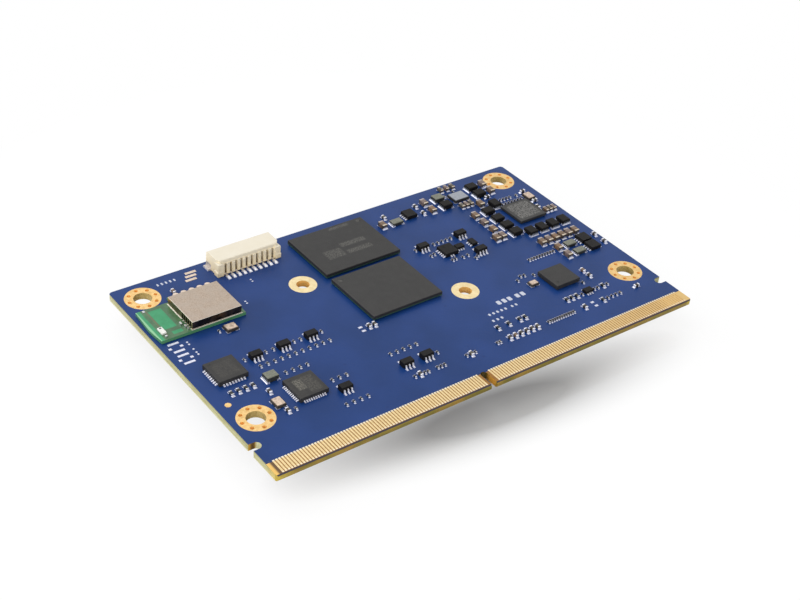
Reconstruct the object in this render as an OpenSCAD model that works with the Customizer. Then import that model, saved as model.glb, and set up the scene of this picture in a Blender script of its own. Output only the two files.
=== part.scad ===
// System on module: a short edge-card computer board with all of its parts on the top face.
// Millimetres, +Z up. The underside of the board lies on Z = 0 and the contact edge faces -Y.
// Part positions are written from the board's front left corner, as seen from above.

/* [Board] */
// Length along the contact edge
board_w = 82; // [82:0.5:100]
// Depth from the contact edge to the rear edge
board_d = 50; // [50:0.5:80]
// Thickness over the solder mask
board_t = 1.2; // [0.8:0.05:1.6]
// Radius of the outer corners
corner_r = 0.6; // [0.2:0.1:1]
// Bevel on both faces of the contact edge
bevel = 0.3; // [0.1:0.05:0.4]
// Depth of the bare zone that carries the contacts
contact_zone = 3.15; // [2.5:0.05:4]
// Height of the mask over the bare laminate
copper_t = 0.035; // [0.02:0.005:0.07]

/* [Edge contacts] */
// Distance from one contact to the next
contact_pitch = 0.5; // [0.4:0.05:0.6]
// Width of one contact
contact_w = 0.34; // [0.2:0.01:0.4]
// Centre of the key slot from the left end
key_x = 39; // [38.8:0.1:39.2]
// Width of the key slot
key_w = 1.15; // [1:0.05:1.6]
// Depth of the key slot
key_deep = 3.2; // [2:0.1:4]
// Bare laminate left beyond the outermost top contacts
contact_margin = 1; // [0.9:0.1:3]

/* [Side notches] */
// Centre of the notches from the contact edge
notch_y = 6.9; // [6:0.1:8]
// Width of the notches
notch_w = 1.5; // [1:0.1:2]
// Depth of the notches
notch_deep = 1.65; // [1:0.05:2]

/* [Mounting holes] */
// Clear bore of the corner holes
hole_d = 3; // [2.6:0.1:3.2]
// Outer diameter of the corner rings
ring_d = 5.9; // [5.5:0.1:6.2]
// Distance of the corner holes from the short sides
hole_side = 4; // [3.8:0.1:5]
// Front row of corner holes from the contact edge
hole_front = 12; // [11:0.5:13]
// Distance of the rear corner holes from the rear edge
hole_rear = 4; // [4:0.5:5]
// Bore of the two holes for the heat spreader
cooler_hole_d = 2.2; // [1.8:0.1:2.6]
// Outer diameter of the heat spreader rings
cooler_ring_d = 4.7; // [4:0.1:5]

/* [Wire header] */
// Number of ways
header_ways = 10; // [4:1:10]
// Distance from one way to the next
header_pitch = 1; // [1:0.05:1]
// Centre of the header from the left end
header_x = 23.2; // [23:0.1:24]
// Front wall of the header from the contact edge
header_y = 45; // [44.8:0.1:45.5]
// Depth of the housing
header_deep = 4.05; // [3.8:0.05:4.3]
// Height of the housing
header_h = 2.9; // [2.5:0.05:3.2]

/* [Radio] */
// Thickness of the radio board
radio_t = 0.55; // [0.5:0.05:0.8]
// Height of the shield can
can_h = 1.45; // [1.3:0.05:1.8]
// Thickness of the shield sheet
can_t = 0.15; // [0.1:0.05:0.2]

/* [Chips] */
// Height of the two large chips over the board
big_chip_h = 0.95; // [0.8:0.05:1.2]
// Height of the solder balls
ball_h = 0.2; // [0.15:0.05:0.3]
// Height of the solder lands under the small parts
land_t = 0.05; // [0.03:0.01:0.08]

/* [Hidden] */
top = board_t;
seat = board_t + land_t;
eps = 0.01;
plate_wall = 0.05;
via_d = 0.65;
via_ring = 2.3;
via_count = 8;
cooler_holes = [[28.15, 36.4], [50.35, 21.4]];
corner_holes = [[hole_side, hole_front], [board_w - hole_side, hole_front],
                [hole_side, board_d - hole_rear], [board_w - hole_side, board_d - hole_rear]];

// The underside has one contact more on each side of the key, half a pitch out of step.
key_clear_top = 1.25;
key_clear_under = 1;
top_left_count = floor((key_x - key_clear_top - contact_margin) / contact_pitch) + 1;
top_right_count = floor((board_w - contact_margin - key_x - key_clear_top) / contact_pitch) + 1;
contact_from = bevel + 0.05;
contact_len = contact_zone - contact_from;

mask_blue = [0.13, 0.2, 0.42];
gold = [0.93, 0.75, 0.42];
tin = [0.82, 0.82, 0.84];
mould_dark = [0.18, 0.18, 0.18];
laminate_green = [0.2, 0.48, 0.33];
cream = [0.93, 0.89, 0.8];
sheet_metal = [0.72, 0.67, 0.6];

// Rows of equal parts: start, step along X and count, all lying along Y.
function row(x, y, step, count) = [for (i = [0 : count - 1]) [x + i * step, y, 0]];

// Sizes of the two-ended parts: length, width, height, length of one end cap, reach of the land.
large_cap = [1.6, 0.95, 0.85, 0.32, 0.22];
medium_cap = [1.3, 0.62, 0.62, 0.26, 0.2];
small_cap = [1, 0.5, 0.5, 0.22, 0.24];
flat_resistor = [1, 0.5, 0.34, 0.2, 0.26];
grain = [0.6, 0.3, 0.28, 0.16, 0.15];
power_coil = [2, 1.65, 0.9, 0.42, 0.2];
coil = [2, 1.6, 0.95, 0.36, 0.25];
flat_coil = [2.2, 1.35, 0.65, 0.4, 0.2];

large_cap_places = concat(
    [[66, 38.15, 0], [66, 35.65, 0], [66, 33.1, 0], [64.75, 30.7, 0], [66.1, 30.7, 0]],
    row(70.95, 25.65, 1.52, 6),
    [[72.4, 22.95, 0], [72.4, 20.45, 0], [69.4, 40.9, 0]],
    [[60.5, 46.15, 0], [60.5, 43.6, 0], [49.7, 43.85, 0], [74.05, 46.15, 0], [74.05, 43.65, 0]]
);
medium_cap_places = concat(row(66.1, 42.1, 1, 3), row(78.75, 33.5, 0.9, 3), row(66, 48.3, 1.3, 3));
small_cap_places = concat(
    row(48.25, 7.45, 1.16, 6),
    [[30.75, 21.35, 0], [31.75, 21.3, 0], [30.4, 7.5, 0], [40.3, 7.4, 0], [64.45, 7.5, 0]],
    [[8.7, 15.8, 0], [8.7, 10.75, 0], [71.4, 15.6, 0], [71.4, 13.95, 0]],
    [[79.2, 40.6, 90], [79.15, 37.1, 90], [78.25, 35.1, 0], [72.2, 42.3, 90], [76.3, 7.55, 90], [8.95, 44.95, 0]],
    [[58.6, 46.15, 0], [58.6, 43.7, 0], [51.5, 46, 0], [81.05, 23.05, 0], [81.05, 20.5, 0]]
);
flat_resistor_places = concat(
    row(3.7, 18.3, 1.25, 4),
    row(63.25, 10.6, 1.12, 3),
    [[48.3, 10.5, 0], [50.55, 10.5, 0], [52.85, 10.5, 0], [54, 10.5, 0], [71.4, 10.6, 0], [68.6, 7.5, 0]]
);
grain_places = concat(
    [[9.5, 24.15, 0], [13.3, 24.15, 0], [14.65, 24.15, 0], [18.4, 24.15, 0], [19.6, 24.15, 0]],
    [[23.5, 24.15, 0], [10, 10.6, 0], [36, 10.5, 0], [69.05, 13, 0], [9.9, 32.25, 0]],
    row(10.8, 21.6, 1.26, 11),
    row(13.25, 18.4, 1.28, 4),
    row(18.2, 13.3, 1.3, 3),
    row(29.45, 13.9, 1.25, 5),
    row(16.8, 7.5, 1.3, 4),
    [[29.4, 7.5, 0], [31.3, 7.5, 0], [31.95, 7.5, 0], [39.45, 7.5, 0], [41.2, 7.5, 0]],
    row(33.75, 7.5, 0.68, 3),
    [[45.7, 7.5, 0], [46.25, 7.5, 0], [66.6, 10.5, 0], [69.4, 10.6, 0], [70.25, 10.6, 0]],
    row(69.7, 7.55, 0.95, 4),
    row(56.5, 7.5, 0.5, 12),
    row(65.5, 22.75, 0.615, 10),
    row(54.1, 34.9, 0.93, 5),
    [[50.2, 34.9, 0], [51.5, 32.2, 0], [52.3, 32.4, 0], [54, 29.4, 0], [54.7, 29.5, 0]],
    [[56.1, 29.2, 0], [57.2, 29.3, 0], [57.9, 27.9, 0], [58.6, 28.3, 0], [72.4, 10.6, 0]],
    row(73.68, 40.3, 0.74, 4),
    row(73.1, 38.87, 0.73, 7),
    [[77.36, 40.2, 0], [67.85, 46.95, 0], [65.4, 46.3, 0]],
    [[59.7, 19, 0], [60.9, 19.75, 0], [61.7, 19.65, 0], [63.2, 18.95, 0]]
);
power_coil_places = concat(
    [for (y = [30.5, 32.95, 35.5, 38.2]) [68.98, y, 90]],
    row(71.53, 29.3, 2.52, 4)
);
dark_coil_places = [[63.6, 43.6, 90], [71.4, 46.1, 90], [71.4, 43.7, 90], [71.6, 39.5, 0]];
grey_coil_places = [[63.6, 46.1, 90], [10.55, 18.45, 90]];
flat_coil_places = [[75, 22.92, 90], [75, 20.38, 90], [52.5, 43.6, 90]];

six_lead_places = [[11.35, 23.95], [16.35, 23.95], [21.4, 23.95], [18.7, 10.6], [30.1, 10.6],
                   [33.9, 10.6], [51.65, 34.85], [59.85, 34.9], [59.9, 29.2]];
eight_lead_places = [[55.95, 44.5], [78.3, 23], [78.2, 20.5]];
tiny_chip_places = [[68, 10.7, 0], [57.4, 32, 0], [60.3, 31.9, 90]];
crystal_places = [[11.85, 32.05, 0], [8.4, 12.95, 90], [79.1, 38.68, 90]];

// Leadless chips: centre, side, height, lead pitch, leads on the left and right, leads front and rear.
sound_chip = [[5.55, 23.1], 5, 0.85, 0.5, 8, 8];
link_chip = [[13.75, 13.85], 5, 0.8, 0.4, 10, 10];
shift_chip = [[54.85, 31.95], 2.7, 0.75, 0.5, 5, 2];

// Large chips on solder balls: left, front, width, depth.
processor = [32.25, 22.2, 13.8, 12];
memory = [32.3, 35.6, 15.05, 11.85];
power_chip = [71.8, 32.25, 5.9, 5.8];
network_chip = [63.65, 13.55, 5.1, 5];

// The oscillator: its middle, and its width, depth and tray height.
oscillator_place = [67.47, 44.92];
oscillator = [3.2, 2.5, 0.42];

// Three plain bars beside the header, from the rear
bar_places = [[14.05, 48.5], [13.6, 47.6], [13.15, 46.65]];

radio_left = 0.82;
radio_right = 15.76;
radio_front = 33.94;
radio_rear = 42.35;
radio_step_x = 7;
radio_step_y = 43.6;
radio_pad_x = 8.66;
radio_pad_step = 1.45;
radio_pad_count = 5;
radio_top = seat + radio_t;
can = [6.24, 34.1, 8.82, 7.75];
can_foot = 0.12;

// Moves to a place given from the front left corner, at height z.
module place(p, z = 0) translate([p[0] - board_w / 2, p[1] - board_d / 2, z]) children();

module block(w, d, h) translate([-w / 2, -d / 2, 0]) cube([w, d, h]);

module bar(x0, y0, w, d, z, h) place([x0, y0], z) cube([w, d, h]);

module bevelled_profile(w, h, c)
    polygon([[-w / 2, 0], [w / 2, 0], [w / 2, h - c], [w / 2 - c, h], [c - w / 2, h], [-w / 2, h - c]]);

// Block with a bevel of c along its four top edges
module bevelled_block(w, d, h, c) intersection() {
    translate([0, d / 2, 0]) rotate([90, 0, 0]) linear_extrude(d) bevelled_profile(w, h, c);
    translate([-w / 2, 0, 0]) rotate([90, 0, 90]) linear_extrude(w) bevelled_profile(d, h, c);
}

module rounded_rect(w, d, r) {
    translate([-w / 2 + r, -d / 2]) square([w - 2 * r, d]);
    translate([-w / 2, -d / 2 + r]) square([w, d - 2 * r]);
    for (sx = [-1, 1], sy = [-1, 1]) translate([sx * (w / 2 - r), sy * (d / 2 - r)]) circle(r);
}

// Board

module side_notch(side) {
    reach = notch_deep - notch_w / 2;
    translate([side * (board_w / 2 - reach), notch_y - board_d / 2]) circle(d = notch_w);
    translate([side * (board_w / 2 - reach / 2 + 0.5), notch_y - board_d / 2])
        square([reach + 1, notch_w], center = true);
}

module key_slot() {
    reach = key_deep - key_w / 2;
    translate([key_x - board_w / 2, reach - board_d / 2]) circle(d = key_w);
    translate([key_x - board_w / 2, (reach - 1) / 2 - board_d / 2])
        square([key_w, reach + 1], center = true);
}

module board_outline() difference() {
    rounded_rect(board_w, board_d, corner_r);
    for (side = [-1, 1]) side_notch(side);
    key_slot();
}

// Wedge that cuts the bevel; level is the face it starts from and dir points into the board.
module bevel_wedge(level, dir) {
    translate([-board_w / 2 - 1, -board_d / 2, level])
        rotate([90, 0, 90])
            linear_extrude(board_w + 2)
                polygon([[-1, -dir], [bevel + 1, -dir], [-1, dir * (bevel + 1)]]);
}

module contact_recess(z) bar(-1, -1, board_w + 2, contact_zone + 1, z, 1);

module ring_recess(d, z) translate([0, 0, z]) cylinder(d = d, h = 1);

module hole_cut(d, outer) {
    translate([0, 0, -1]) cylinder(d = d + 2 * plate_wall, h = board_t + 2);
    ring_recess(outer, board_t - copper_t);
    ring_recess(outer, copper_t - 1);
}

module at_vias() for (i = [0 : via_count - 1]) rotate(i * 360 / via_count) translate([via_ring, 0]) children();

module circuit_board() color(mask_blue) difference() {
    linear_extrude(board_t) board_outline();
    contact_recess(board_t - copper_t);
    contact_recess(copper_t - 1);
    bevel_wedge(board_t - copper_t, -1);
    bevel_wedge(copper_t, 1);
    for (p = corner_holes) place(p) {
        hole_cut(hole_d, ring_d);
        at_vias() translate([0, 0, -1]) cylinder(d = via_d + 2 * plate_wall, h = board_t + 2);
    }
    for (p = cooler_holes) place(p) hole_cut(cooler_hole_d, cooler_ring_d);
    place([2.05, 16.5]) ring_recess(1, board_t - copper_t);
}

module contact_row(start, step, count, z) {
    for (i = [0 : count - 1])
        bar(start + i * step - contact_w / 2, contact_from, contact_w, contact_len, z, copper_t);
}

module top_contacts() color(gold) {
    contact_row(key_x - key_clear_top, -contact_pitch, top_left_count, board_t - copper_t);
    contact_row(key_x + key_clear_top, contact_pitch, top_right_count, board_t - copper_t);
}

module under_contacts() color(gold) {
    contact_row(key_x - key_clear_under, -contact_pitch, top_left_count + 1, 0);
    contact_row(key_x + key_clear_under, contact_pitch, top_right_count + 1, 0);
}

module tube(outer, bore) difference() {
    cylinder(d = outer, h = board_t);
    translate([0, 0, -1]) cylinder(d = bore, h = board_t + 2);
}

module plated_ring(outer, bore) difference() {
    union() {
        cylinder(d = outer, h = copper_t);
        translate([0, 0, board_t - copper_t]) cylinder(d = outer, h = copper_t);
        cylinder(d = bore + 2 * plate_wall, h = board_t);
    }
    translate([0, 0, -1]) cylinder(d = bore, h = board_t + 2);
}

module corner_hole_plating() color(gold) for (p = corner_holes) place(p) difference() {
    union() {
        plated_ring(ring_d, hole_d);
        at_vias() cylinder(d = via_d + 2 * plate_wall, h = board_t);
    }
    at_vias() translate([0, 0, -1]) cylinder(d = via_d, h = board_t + 2);
}

module cooler_hole_plating() color(gold)
    for (p = cooler_holes) place(p) plated_ring(cooler_ring_d, cooler_hole_d);

module target_dot() color(gold) place([2.05, 16.5], board_t - copper_t) cylinder(d = 1, h = copper_t);

// Empty footprints: two coaxial sockets, test points, three bars and a few pairs of pads.
module socket_lands(y) {
    for (s = [-1, 1]) {
        place([2.3, y + s * 1], top) block(1.85, 0.45, land_t);
        place([2.25 + s * 0.97, y], top) block(0.5, 0.45, land_t);
    }
}

module land_pair(x, y, gap, w, d) for (s = [-1, 1]) place([x, y + s * gap / 2], top) block(w, d, land_t);

module spare_lands() color(tin) {
    socket_lands(29);
    socket_lands(32.15);
    for (y = [29.05, 29.6, 30.5, 31.85, 32.45]) place([4.35, y], top) cylinder(d = 0.34, h = land_t);
    for (p = bar_places) place(p, top) block(2, 0.55, land_t);
    land_pair(29.45, 21.45, 1, 0.7, 0.42);
    land_pair(66.6, 7.5, 1.05, 0.62, 0.42);
    land_pair(17.55, 36.8, 0.55, 0.3, 0.24);
    land_pair(21.5, 41.55, 0.55, 0.3, 0.24);
}

// Two-ended parts; s is one of the size lists above.

module at_places(places, z) for (p = places) place(p, z) rotate(-p[2]) children();

module two_end_body(s) block(s[1] * 0.97, s[0] - 2 * s[3], s[2] * 0.98);

module two_end_caps(s) for (e = [-1, 1]) translate([0, e * (s[0] - s[3]) / 2]) block(s[1], s[3], s[2]);

module two_end_lands(s) {
    land_d = s[3] + s[4];
    for (e = [-1, 1]) translate([0, e * (s[0] / 2 + s[4] - land_d / 2)]) block(s[1] + 0.08, land_d, land_t);
}

// A coil stands on two low terminals, which show as rims round the foot of its ends.
foot_rim = 0.08;
foot_h = 0.22;
// Each terminal goes up the end of the coil as a plate, a little proud of it
wrap_t = 0.05;
wrap_proud = 0.02;

module coil_terminals(s, grow = 0) for (e = [-1, 1]) {
    translate([0, e * (s[0] - s[3] + foot_rim + grow) / 2, -grow])
        block(s[1] + 2 * foot_rim, s[3] + foot_rim + grow, foot_h + grow);
    translate([0, e * (s[0] + wrap_proud - wrap_t + grow) / 2, -grow])
        block(s[1] * 0.8, wrap_proud + wrap_t + grow, s[2] * 0.62 + grow);
}

module coil_lands(s) two_end_lands([s[0], s[1] + 2 * foot_rim, s[2], s[3], s[4]]);

module coil_body(s) difference() {
    bevelled_block(s[1], s[0], s[2], 0.1);
    coil_terminals(s, eps);
}

module power_coil_bodies() color(mould_dark) at_places(power_coil_places, seat) coil_body(power_coil);
module dark_coil_bodies() color(mould_dark) at_places(dark_coil_places, seat) coil_body(coil);
module grey_coil_bodies() color([0.5, 0.5, 0.44]) {
    at_places(grey_coil_places, seat) coil_body(coil);
    at_places(flat_coil_places, seat) coil_body(flat_coil);
}

module coil_ends() color(tin) {
    at_places(power_coil_places, seat) coil_terminals(power_coil);
    at_places(concat(dark_coil_places, grey_coil_places), seat) coil_terminals(coil);
    at_places(flat_coil_places, seat) coil_terminals(flat_coil);
}

module large_cap_bodies() color([0.55, 0.42, 0.3]) at_places(large_cap_places, seat) two_end_body(large_cap);
module medium_cap_bodies() color([0.6, 0.47, 0.36]) at_places(medium_cap_places, seat) two_end_body(medium_cap);
module small_cap_bodies() color([0.5, 0.42, 0.35]) at_places(small_cap_places, seat) two_end_body(small_cap);

module cap_ends() color(tin) {
    at_places(large_cap_places, seat) two_end_caps(large_cap);
    at_places(medium_cap_places, seat) two_end_caps(medium_cap);
    at_places(small_cap_places, seat) two_end_caps(small_cap);
}

module resistor_bodies() color([0.12, 0.13, 0.12]) at_places(flat_resistor_places, seat) two_end_body(flat_resistor);
module resistor_ends() color(tin) at_places(flat_resistor_places, seat) two_end_caps(flat_resistor);
module grain_bodies() color([0.3, 0.28, 0.25]) at_places(grain_places, seat) two_end_body(grain);
module grain_ends() color(tin) at_places(grain_places, seat) two_end_caps(grain);

// Leadless chips

flat_lead_h = 0.2;
top_bevel = 0.05;

// Round dimple in the top face, near the far left corner
module pin_mark(w, d, h, size) translate([-w / 2 + size * 1.6, d / 2 - size * 1.6, h - 0.03])
    cylinder(d = size, h = 1);

function lead_offsets(count, pitch) = [for (i = [0 : count - 1]) (i - (count - 1) / 2) * pitch];

module around_leads(chip) {
    for (turn = [0, 180]) rotate(turn)
        for (o = lead_offsets(chip[4], chip[3])) translate([-chip[1] / 2, o]) children();
    for (turn = [90, 270]) rotate(turn)
        for (o = lead_offsets(chip[5], chip[3])) translate([-chip[1] / 2, o]) children();
}

module flat_lead(chip, grow = 0) translate([-grow, -chip[3] * 0.27, -grow])
    cube([0.4 + grow, chip[3] * 0.54, flat_lead_h + grow]);

// Solder in front of a leadless chip's lead
module lead_solder(chip) translate([-0.26, -chip[3] * 0.27, 0]) cube([0.27, chip[3] * 0.54, 0.1]);

module flat_land(chip) translate([-0.38, -chip[3] * 0.3, 0]) cube([0.7, chip[3] * 0.6, land_t]);

module heel_pad(chip, grow = 0) block(chip[1] * 0.62, chip[1] * 0.62, flat_lead_h + grow);

module leadless_body(chip) place(chip[0], seat) difference() {
    bevelled_block(chip[1], chip[1], chip[2], top_bevel);
    around_leads(chip) flat_lead(chip, eps);
    translate([0, 0, -eps]) heel_pad(chip, eps);
    pin_mark(chip[1], chip[1], chip[2], 0.5);
}

module leadless_leads(chip) place(chip[0], seat) {
    around_leads(chip) flat_lead(chip);
    around_leads(chip) lead_solder(chip);
    heel_pad(chip);
}

module sound_chip_body() color(mould_dark) leadless_body(sound_chip);
module sound_chip_leads() color(tin) leadless_leads(sound_chip);
module link_chip_body() color(mould_dark) leadless_body(link_chip);
module link_chip_leads() color(tin) leadless_leads(link_chip);
module shift_chip_body() color(mould_dark) leadless_body(shift_chip);
module shift_chip_leads() color(tin) leadless_leads(shift_chip);

// Chips with bent leads; the profile runs outwards from the body's side, foot last.

lead_t = 0.12;

module bent_lead(out, rise, w) translate([-w / 2, 0, 0]) rotate([90, 0, 90]) linear_extrude(w)
    polygon([[0, rise], [0, rise + lead_t], [out - 0.24, rise + lead_t], [out - 0.12, lead_t],
             [out + 0.13, lead_t], [out + 0.13, 0], [out - 0.21, 0], [out - 0.33, rise]]);

module soft_body(w, d, h, draft) translate([-w / 2, 0, 0]) rotate([90, 0, 90]) linear_extrude(w)
    polygon([[-d / 2 + draft, 0.06], [d / 2 - draft, 0.06], [d / 2, h * 0.42], [d / 2, h * 0.62],
             [d / 2 - draft, h], [-d / 2 + draft, h], [-d / 2, h * 0.62], [-d / 2, h * 0.42]]);

module lead_rows(count, pitch, d, out, rise, w) for (turn = [0, 180]) rotate(turn)
    for (o = lead_offsets(count, pitch)) translate([o, d / 2]) bent_lead(out, rise, w);

// Short straight leads, which end under the body
module stub_rows(count, pitch, d, out, w) for (turn = [0, 180]) rotate(turn)
    for (o = lead_offsets(count, pitch)) translate([o, d / 2]) block(w, 2 * out, 0.12);

module land_rows(count, pitch, d, out, w) for (turn = [0, 180]) rotate(turn)
    for (o = lead_offsets(count, pitch)) translate([o, d / 2 + out]) block(w, 0.55, land_t);

module six_lead_bodies() color(mould_dark)
    for (p = six_lead_places) place(p, seat) soft_body(2, 1.25, 0.95, 0.07);
module six_lead_leads() color(tin)
    for (p = six_lead_places) place(p, seat) lead_rows(3, 0.65, 1.25, 0.4, 0.42, 0.24);

module eight_lead_bodies() color(mould_dark)
    for (p = eight_lead_places) place(p, seat) rotate(90) difference() {
        soft_body(2.1, 2.2, 0.7, 0.07);
        stub_rows(4, 0.5, 2.2, 0.16, 0.2);
    }
module eight_lead_leads() color(tin)
    for (p = eight_lead_places) place(p, seat) rotate(90) stub_rows(4, 0.5, 2.2, 0.16, 0.2);

module tiny_chip_bodies() color(mould_dark) at_places(tiny_chip_places, seat) difference() {
    soft_body(1.6, 1.1, 0.55, 0.04);
    stub_rows(3, 0.5, 1.1, 0.2, 0.2);
}
module tiny_chip_leads() color(tin) at_places(tiny_chip_places, seat) stub_rows(3, 0.5, 1.1, 0.2, 0.2);

// Crystals and the oscillator: a ceramic tray with a metal lid.

module tray(w, d, h) block(w, d, h);
module tray_lid(w, d, h, t) translate([0, 0, h]) linear_extrude(t) rounded_rect(w - 0.24, d - 0.24, 0.12);
module tray_lands(w, d) for (sx = [-1, 1], sy = [-1, 1])
    translate([sx * (w / 2 - 0.25), sy * (d / 2 - 0.2)]) block(0.7, 0.6, land_t);

module small_crystal_place() translate([61.4 - board_w / 2, 17 - board_d / 2, 0]) children();

module crystal_bases() color([0.35, 0.32, 0.28]) {
    at_places(crystal_places, seat) tray(2, 1.6, 0.42);
    small_crystal_place() translate([0, 0, seat]) tray(1.6, 1.2, 0.35);
}

module crystal_lids() color([0.8, 0.7, 0.6]) {
    at_places(crystal_places, seat) tray_lid(2, 1.6, 0.42, 0.12);
    small_crystal_place() translate([0, 0, seat]) tray_lid(1.6, 1.2, 0.35, 0.1);
}

module oscillator_base() color([0.2, 0.2, 0.2]) place(oscillator_place, seat)
    tray(oscillator[0], oscillator[1], oscillator[2]);
module oscillator_lid() color([0.6, 0.64, 0.7]) place(oscillator_place, seat)
    tray_lid(oscillator[0], oscillator[1], oscillator[2], 0.12);

// Solder lands of every mounted part

module part_lands() color(tin) {
    at_places(large_cap_places, top) two_end_lands(large_cap);
    at_places(medium_cap_places, top) two_end_lands(medium_cap);
    at_places(small_cap_places, top) two_end_lands(small_cap);
    at_places(flat_resistor_places, top) two_end_lands(flat_resistor);
    at_places(grain_places, top) two_end_lands([grain[0], grain[1] - 0.06, 0, grain[3], grain[4]]);
    at_places(power_coil_places, top) coil_lands(power_coil);
    at_places(concat(dark_coil_places, grey_coil_places), top) coil_lands(coil);
    at_places(flat_coil_places, top) coil_lands(flat_coil);
    for (chip = [sound_chip, link_chip, shift_chip]) place(chip[0], top) {
        around_leads(chip) flat_land(chip);
        block(chip[1] * 0.6, chip[1] * 0.6, land_t);
    }
    for (p = six_lead_places) place(p, top) land_rows(3, 0.65, 1.25, 0.4, 0.34);
    for (p = eight_lead_places) place(p, top) rotate(90) land_rows(4, 0.5, 2.2, 0.08, 0.28);
    at_places(tiny_chip_places, top) land_rows(3, 0.5, 1.1, 0.1, 0.28);
    at_places(crystal_places, top) tray_lands(2, 1.6);
    small_crystal_place() translate([0, 0, top]) tray_lands(1.6, 1.2);
    place(oscillator_place, top) tray_lands(oscillator[0], oscillator[1]);
    radio_lands();
    header_lands();
}

// Large chips on balls: c is left, front, width and depth.

module chip_at(c, z) place([c[0] + c[2] / 2, c[1] + c[3] / 2], z) children();

base_t = 0.22;
die_t = 0.2;

module chip_base(c) chip_at(c, top + ball_h) block(c[2], c[3], base_t);

module chip_die(c, w, d) chip_at(c, top + ball_h + base_t) block(w, d, die_t);

module chip_cover(c, w, d, mark) {
    cover_h = big_chip_h - ball_h - base_t;
    chip_at(c, top + ball_h + base_t) difference() {
        bevelled_block(c[2], c[3], cover_h, top_bevel);
        translate([0, 0, -eps]) block(w, d, die_t + eps);
        mirror([mark, 0, 0]) pin_mark(c[2], c[3], cover_h, 0.7);
    }
}

// The pin mark stands at the rear left corner, or at the front left one when flip is 1.
module small_ball_chip(c, h, flip) chip_at(c, top + ball_h) difference() {
    bevelled_block(c[2], c[3], h, top_bevel);
    mirror([0, flip, 0]) pin_mark(c[2], c[3], h, 0.5);
}

// Balls fill the outer rings of the grid and a block in the middle.
module ball_grid(c, nx, ny, pitch, rings, core) {
    for (i = [0 : nx - 1], j = [0 : ny - 1]) {
        edge = min(min(i, nx - 1 - i), min(j, ny - 1 - j));
        middle = max(abs(i - (nx - 1) / 2), abs(j - (ny - 1) / 2));
        if (edge < rings || middle < core)
            chip_at(c, top) translate([(i - (nx - 1) / 2) * pitch, (j - (ny - 1) / 2) * pitch])
                cylinder(d = 0.4, h = ball_h);
    }
}

module processor_base() color(laminate_green) chip_base(processor);
module processor_die() color([0.4, 0.4, 0.45]) chip_die(processor, 7, 6.4);
module processor_cover() color(mould_dark) chip_cover(processor, 7, 6.4, 0);
module processor_balls() color(tin) ball_grid(processor, 16, 14, 0.8, 2, 2);

module memory_base() color(laminate_green) chip_base(memory);
module memory_die() color([0.4, 0.4, 0.45]) chip_die(memory, 9, 7.5);
module memory_cover() color(mould_dark) chip_cover(memory, 9, 7.5, 1);
module memory_balls() color(tin) ball_grid(memory, 18, 14, 0.8, 2, 0);

module power_chip_body() color(mould_dark) small_ball_chip(power_chip, 0.5, 0);
module power_chip_balls() color(tin) ball_grid(power_chip, 7, 7, 0.8, 1, 1);
module network_chip_body() color(mould_dark) small_ball_chip(network_chip, 0.75, 1);
module network_chip_balls() color(tin) ball_grid(network_chip, 6, 6, 0.8, 1, 1);

// Wire header: side entry, open towards the rear edge.

header_w = (header_ways - 1) * header_pitch + 3;
header_cavity_h = 1.7;
header_cavity_z = 0.65;
header_cavity_deep = 2.9;
slot_w = 0.42;
slot_deep = 0.7;
ledge_h = 2.1;
top_from = 0.24;
post_w = 1.05;
post_h = 2.35;
pin_w = 0.26;
pin_z = header_cavity_z + 0.72;
anchor_y = 2.4;
anchor_len = 1.55;

module header_frame(z = 0) place([header_x, header_y], z) children();
function header_way_offsets() = lead_offsets(header_ways, header_pitch);

// One contact: foot in front of the wall, riser deep in its slot, pin through the wall into the cavity.
module header_pin() translate([-pin_w / 2, 0, 0]) rotate([90, 0, 90]) linear_extrude(pin_w)
    polygon([[-1.25, 0], [0.3, 0], [0.6, pin_z], [3.2, pin_z], [3.35, pin_z + 0.13],
             [3.2, pin_z + 0.26], [0.36, pin_z + 0.26], [0.12, 0.2], [-1.25, 0.2]]);

module header_profile() polygon([[top_from, 0], [top_from, header_h - 0.12], [top_from + 0.12, header_h],
    [header_deep - 0.35, header_h], [header_deep - 0.1, header_h - 0.25], [header_deep, 0]]);

// Cuts the front corners of the housing above the posts
corner_cut = 0.6;

module header_corner_cut(s) translate([0, 0, post_h]) linear_extrude(header_h)
    polygon([[s * (header_w / 2 - corner_cut), 0], [s * (header_w / 2 + 1), 0], [s * (header_w / 2 + 1), 0.9],
             [s * (header_w / 2 - 0.1), 0.9], [s * (header_w / 2 - corner_cut), top_from]]);

// Post at a front corner, with a wider foot
module header_post(s) {
    translate([s * (header_w - post_w) / 2, 0.45, 0]) bevelled_block(post_w, 1.1, post_h, 0.1);
    translate([s * (header_w - post_w + 0.1) / 2, 0.4, 0]) bevelled_block(post_w + 0.1, 1.15, 0.95, 0.12);
}

module header_solid() {
    difference() {
        translate([0.1 - header_w / 2, 0, 0]) rotate([90, 0, 90])
            linear_extrude(header_w - 0.2) header_profile();
        for (s = [-1, 1]) header_corner_cut(s);
    }
    translate([post_w - header_w / 2, 0, 0.12]) cube([header_w - 2 * post_w, 0.5, ledge_h - 0.12]);
    for (s = [-1, 1]) header_post(s);
}

module header_cavity() translate([0, header_deep - header_cavity_deep / 2 + 0.5, header_cavity_z])
    block(header_w - 1.3, header_cavity_deep + 1, header_cavity_h);

module anchor_pocket(s) translate([s * (header_w / 2 - 0.2), anchor_y + anchor_len / 2, -eps])
    block(0.8, anchor_len, 1 + eps);

module header_housing() color(cream) header_frame(seat) difference() {
    header_solid();
    header_cavity();
    for (o = header_way_offsets()) translate([o, 0, 0]) {
        translate([-slot_w / 2, -1, -1]) cube([slot_w, 1 + slot_deep, 1 + ledge_h + eps]);
        translate([0, 0.6, pin_z]) block(pin_w, 2.2, 0.26);
    }
    for (s = [-1, 1]) anchor_pocket(s);
}

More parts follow.
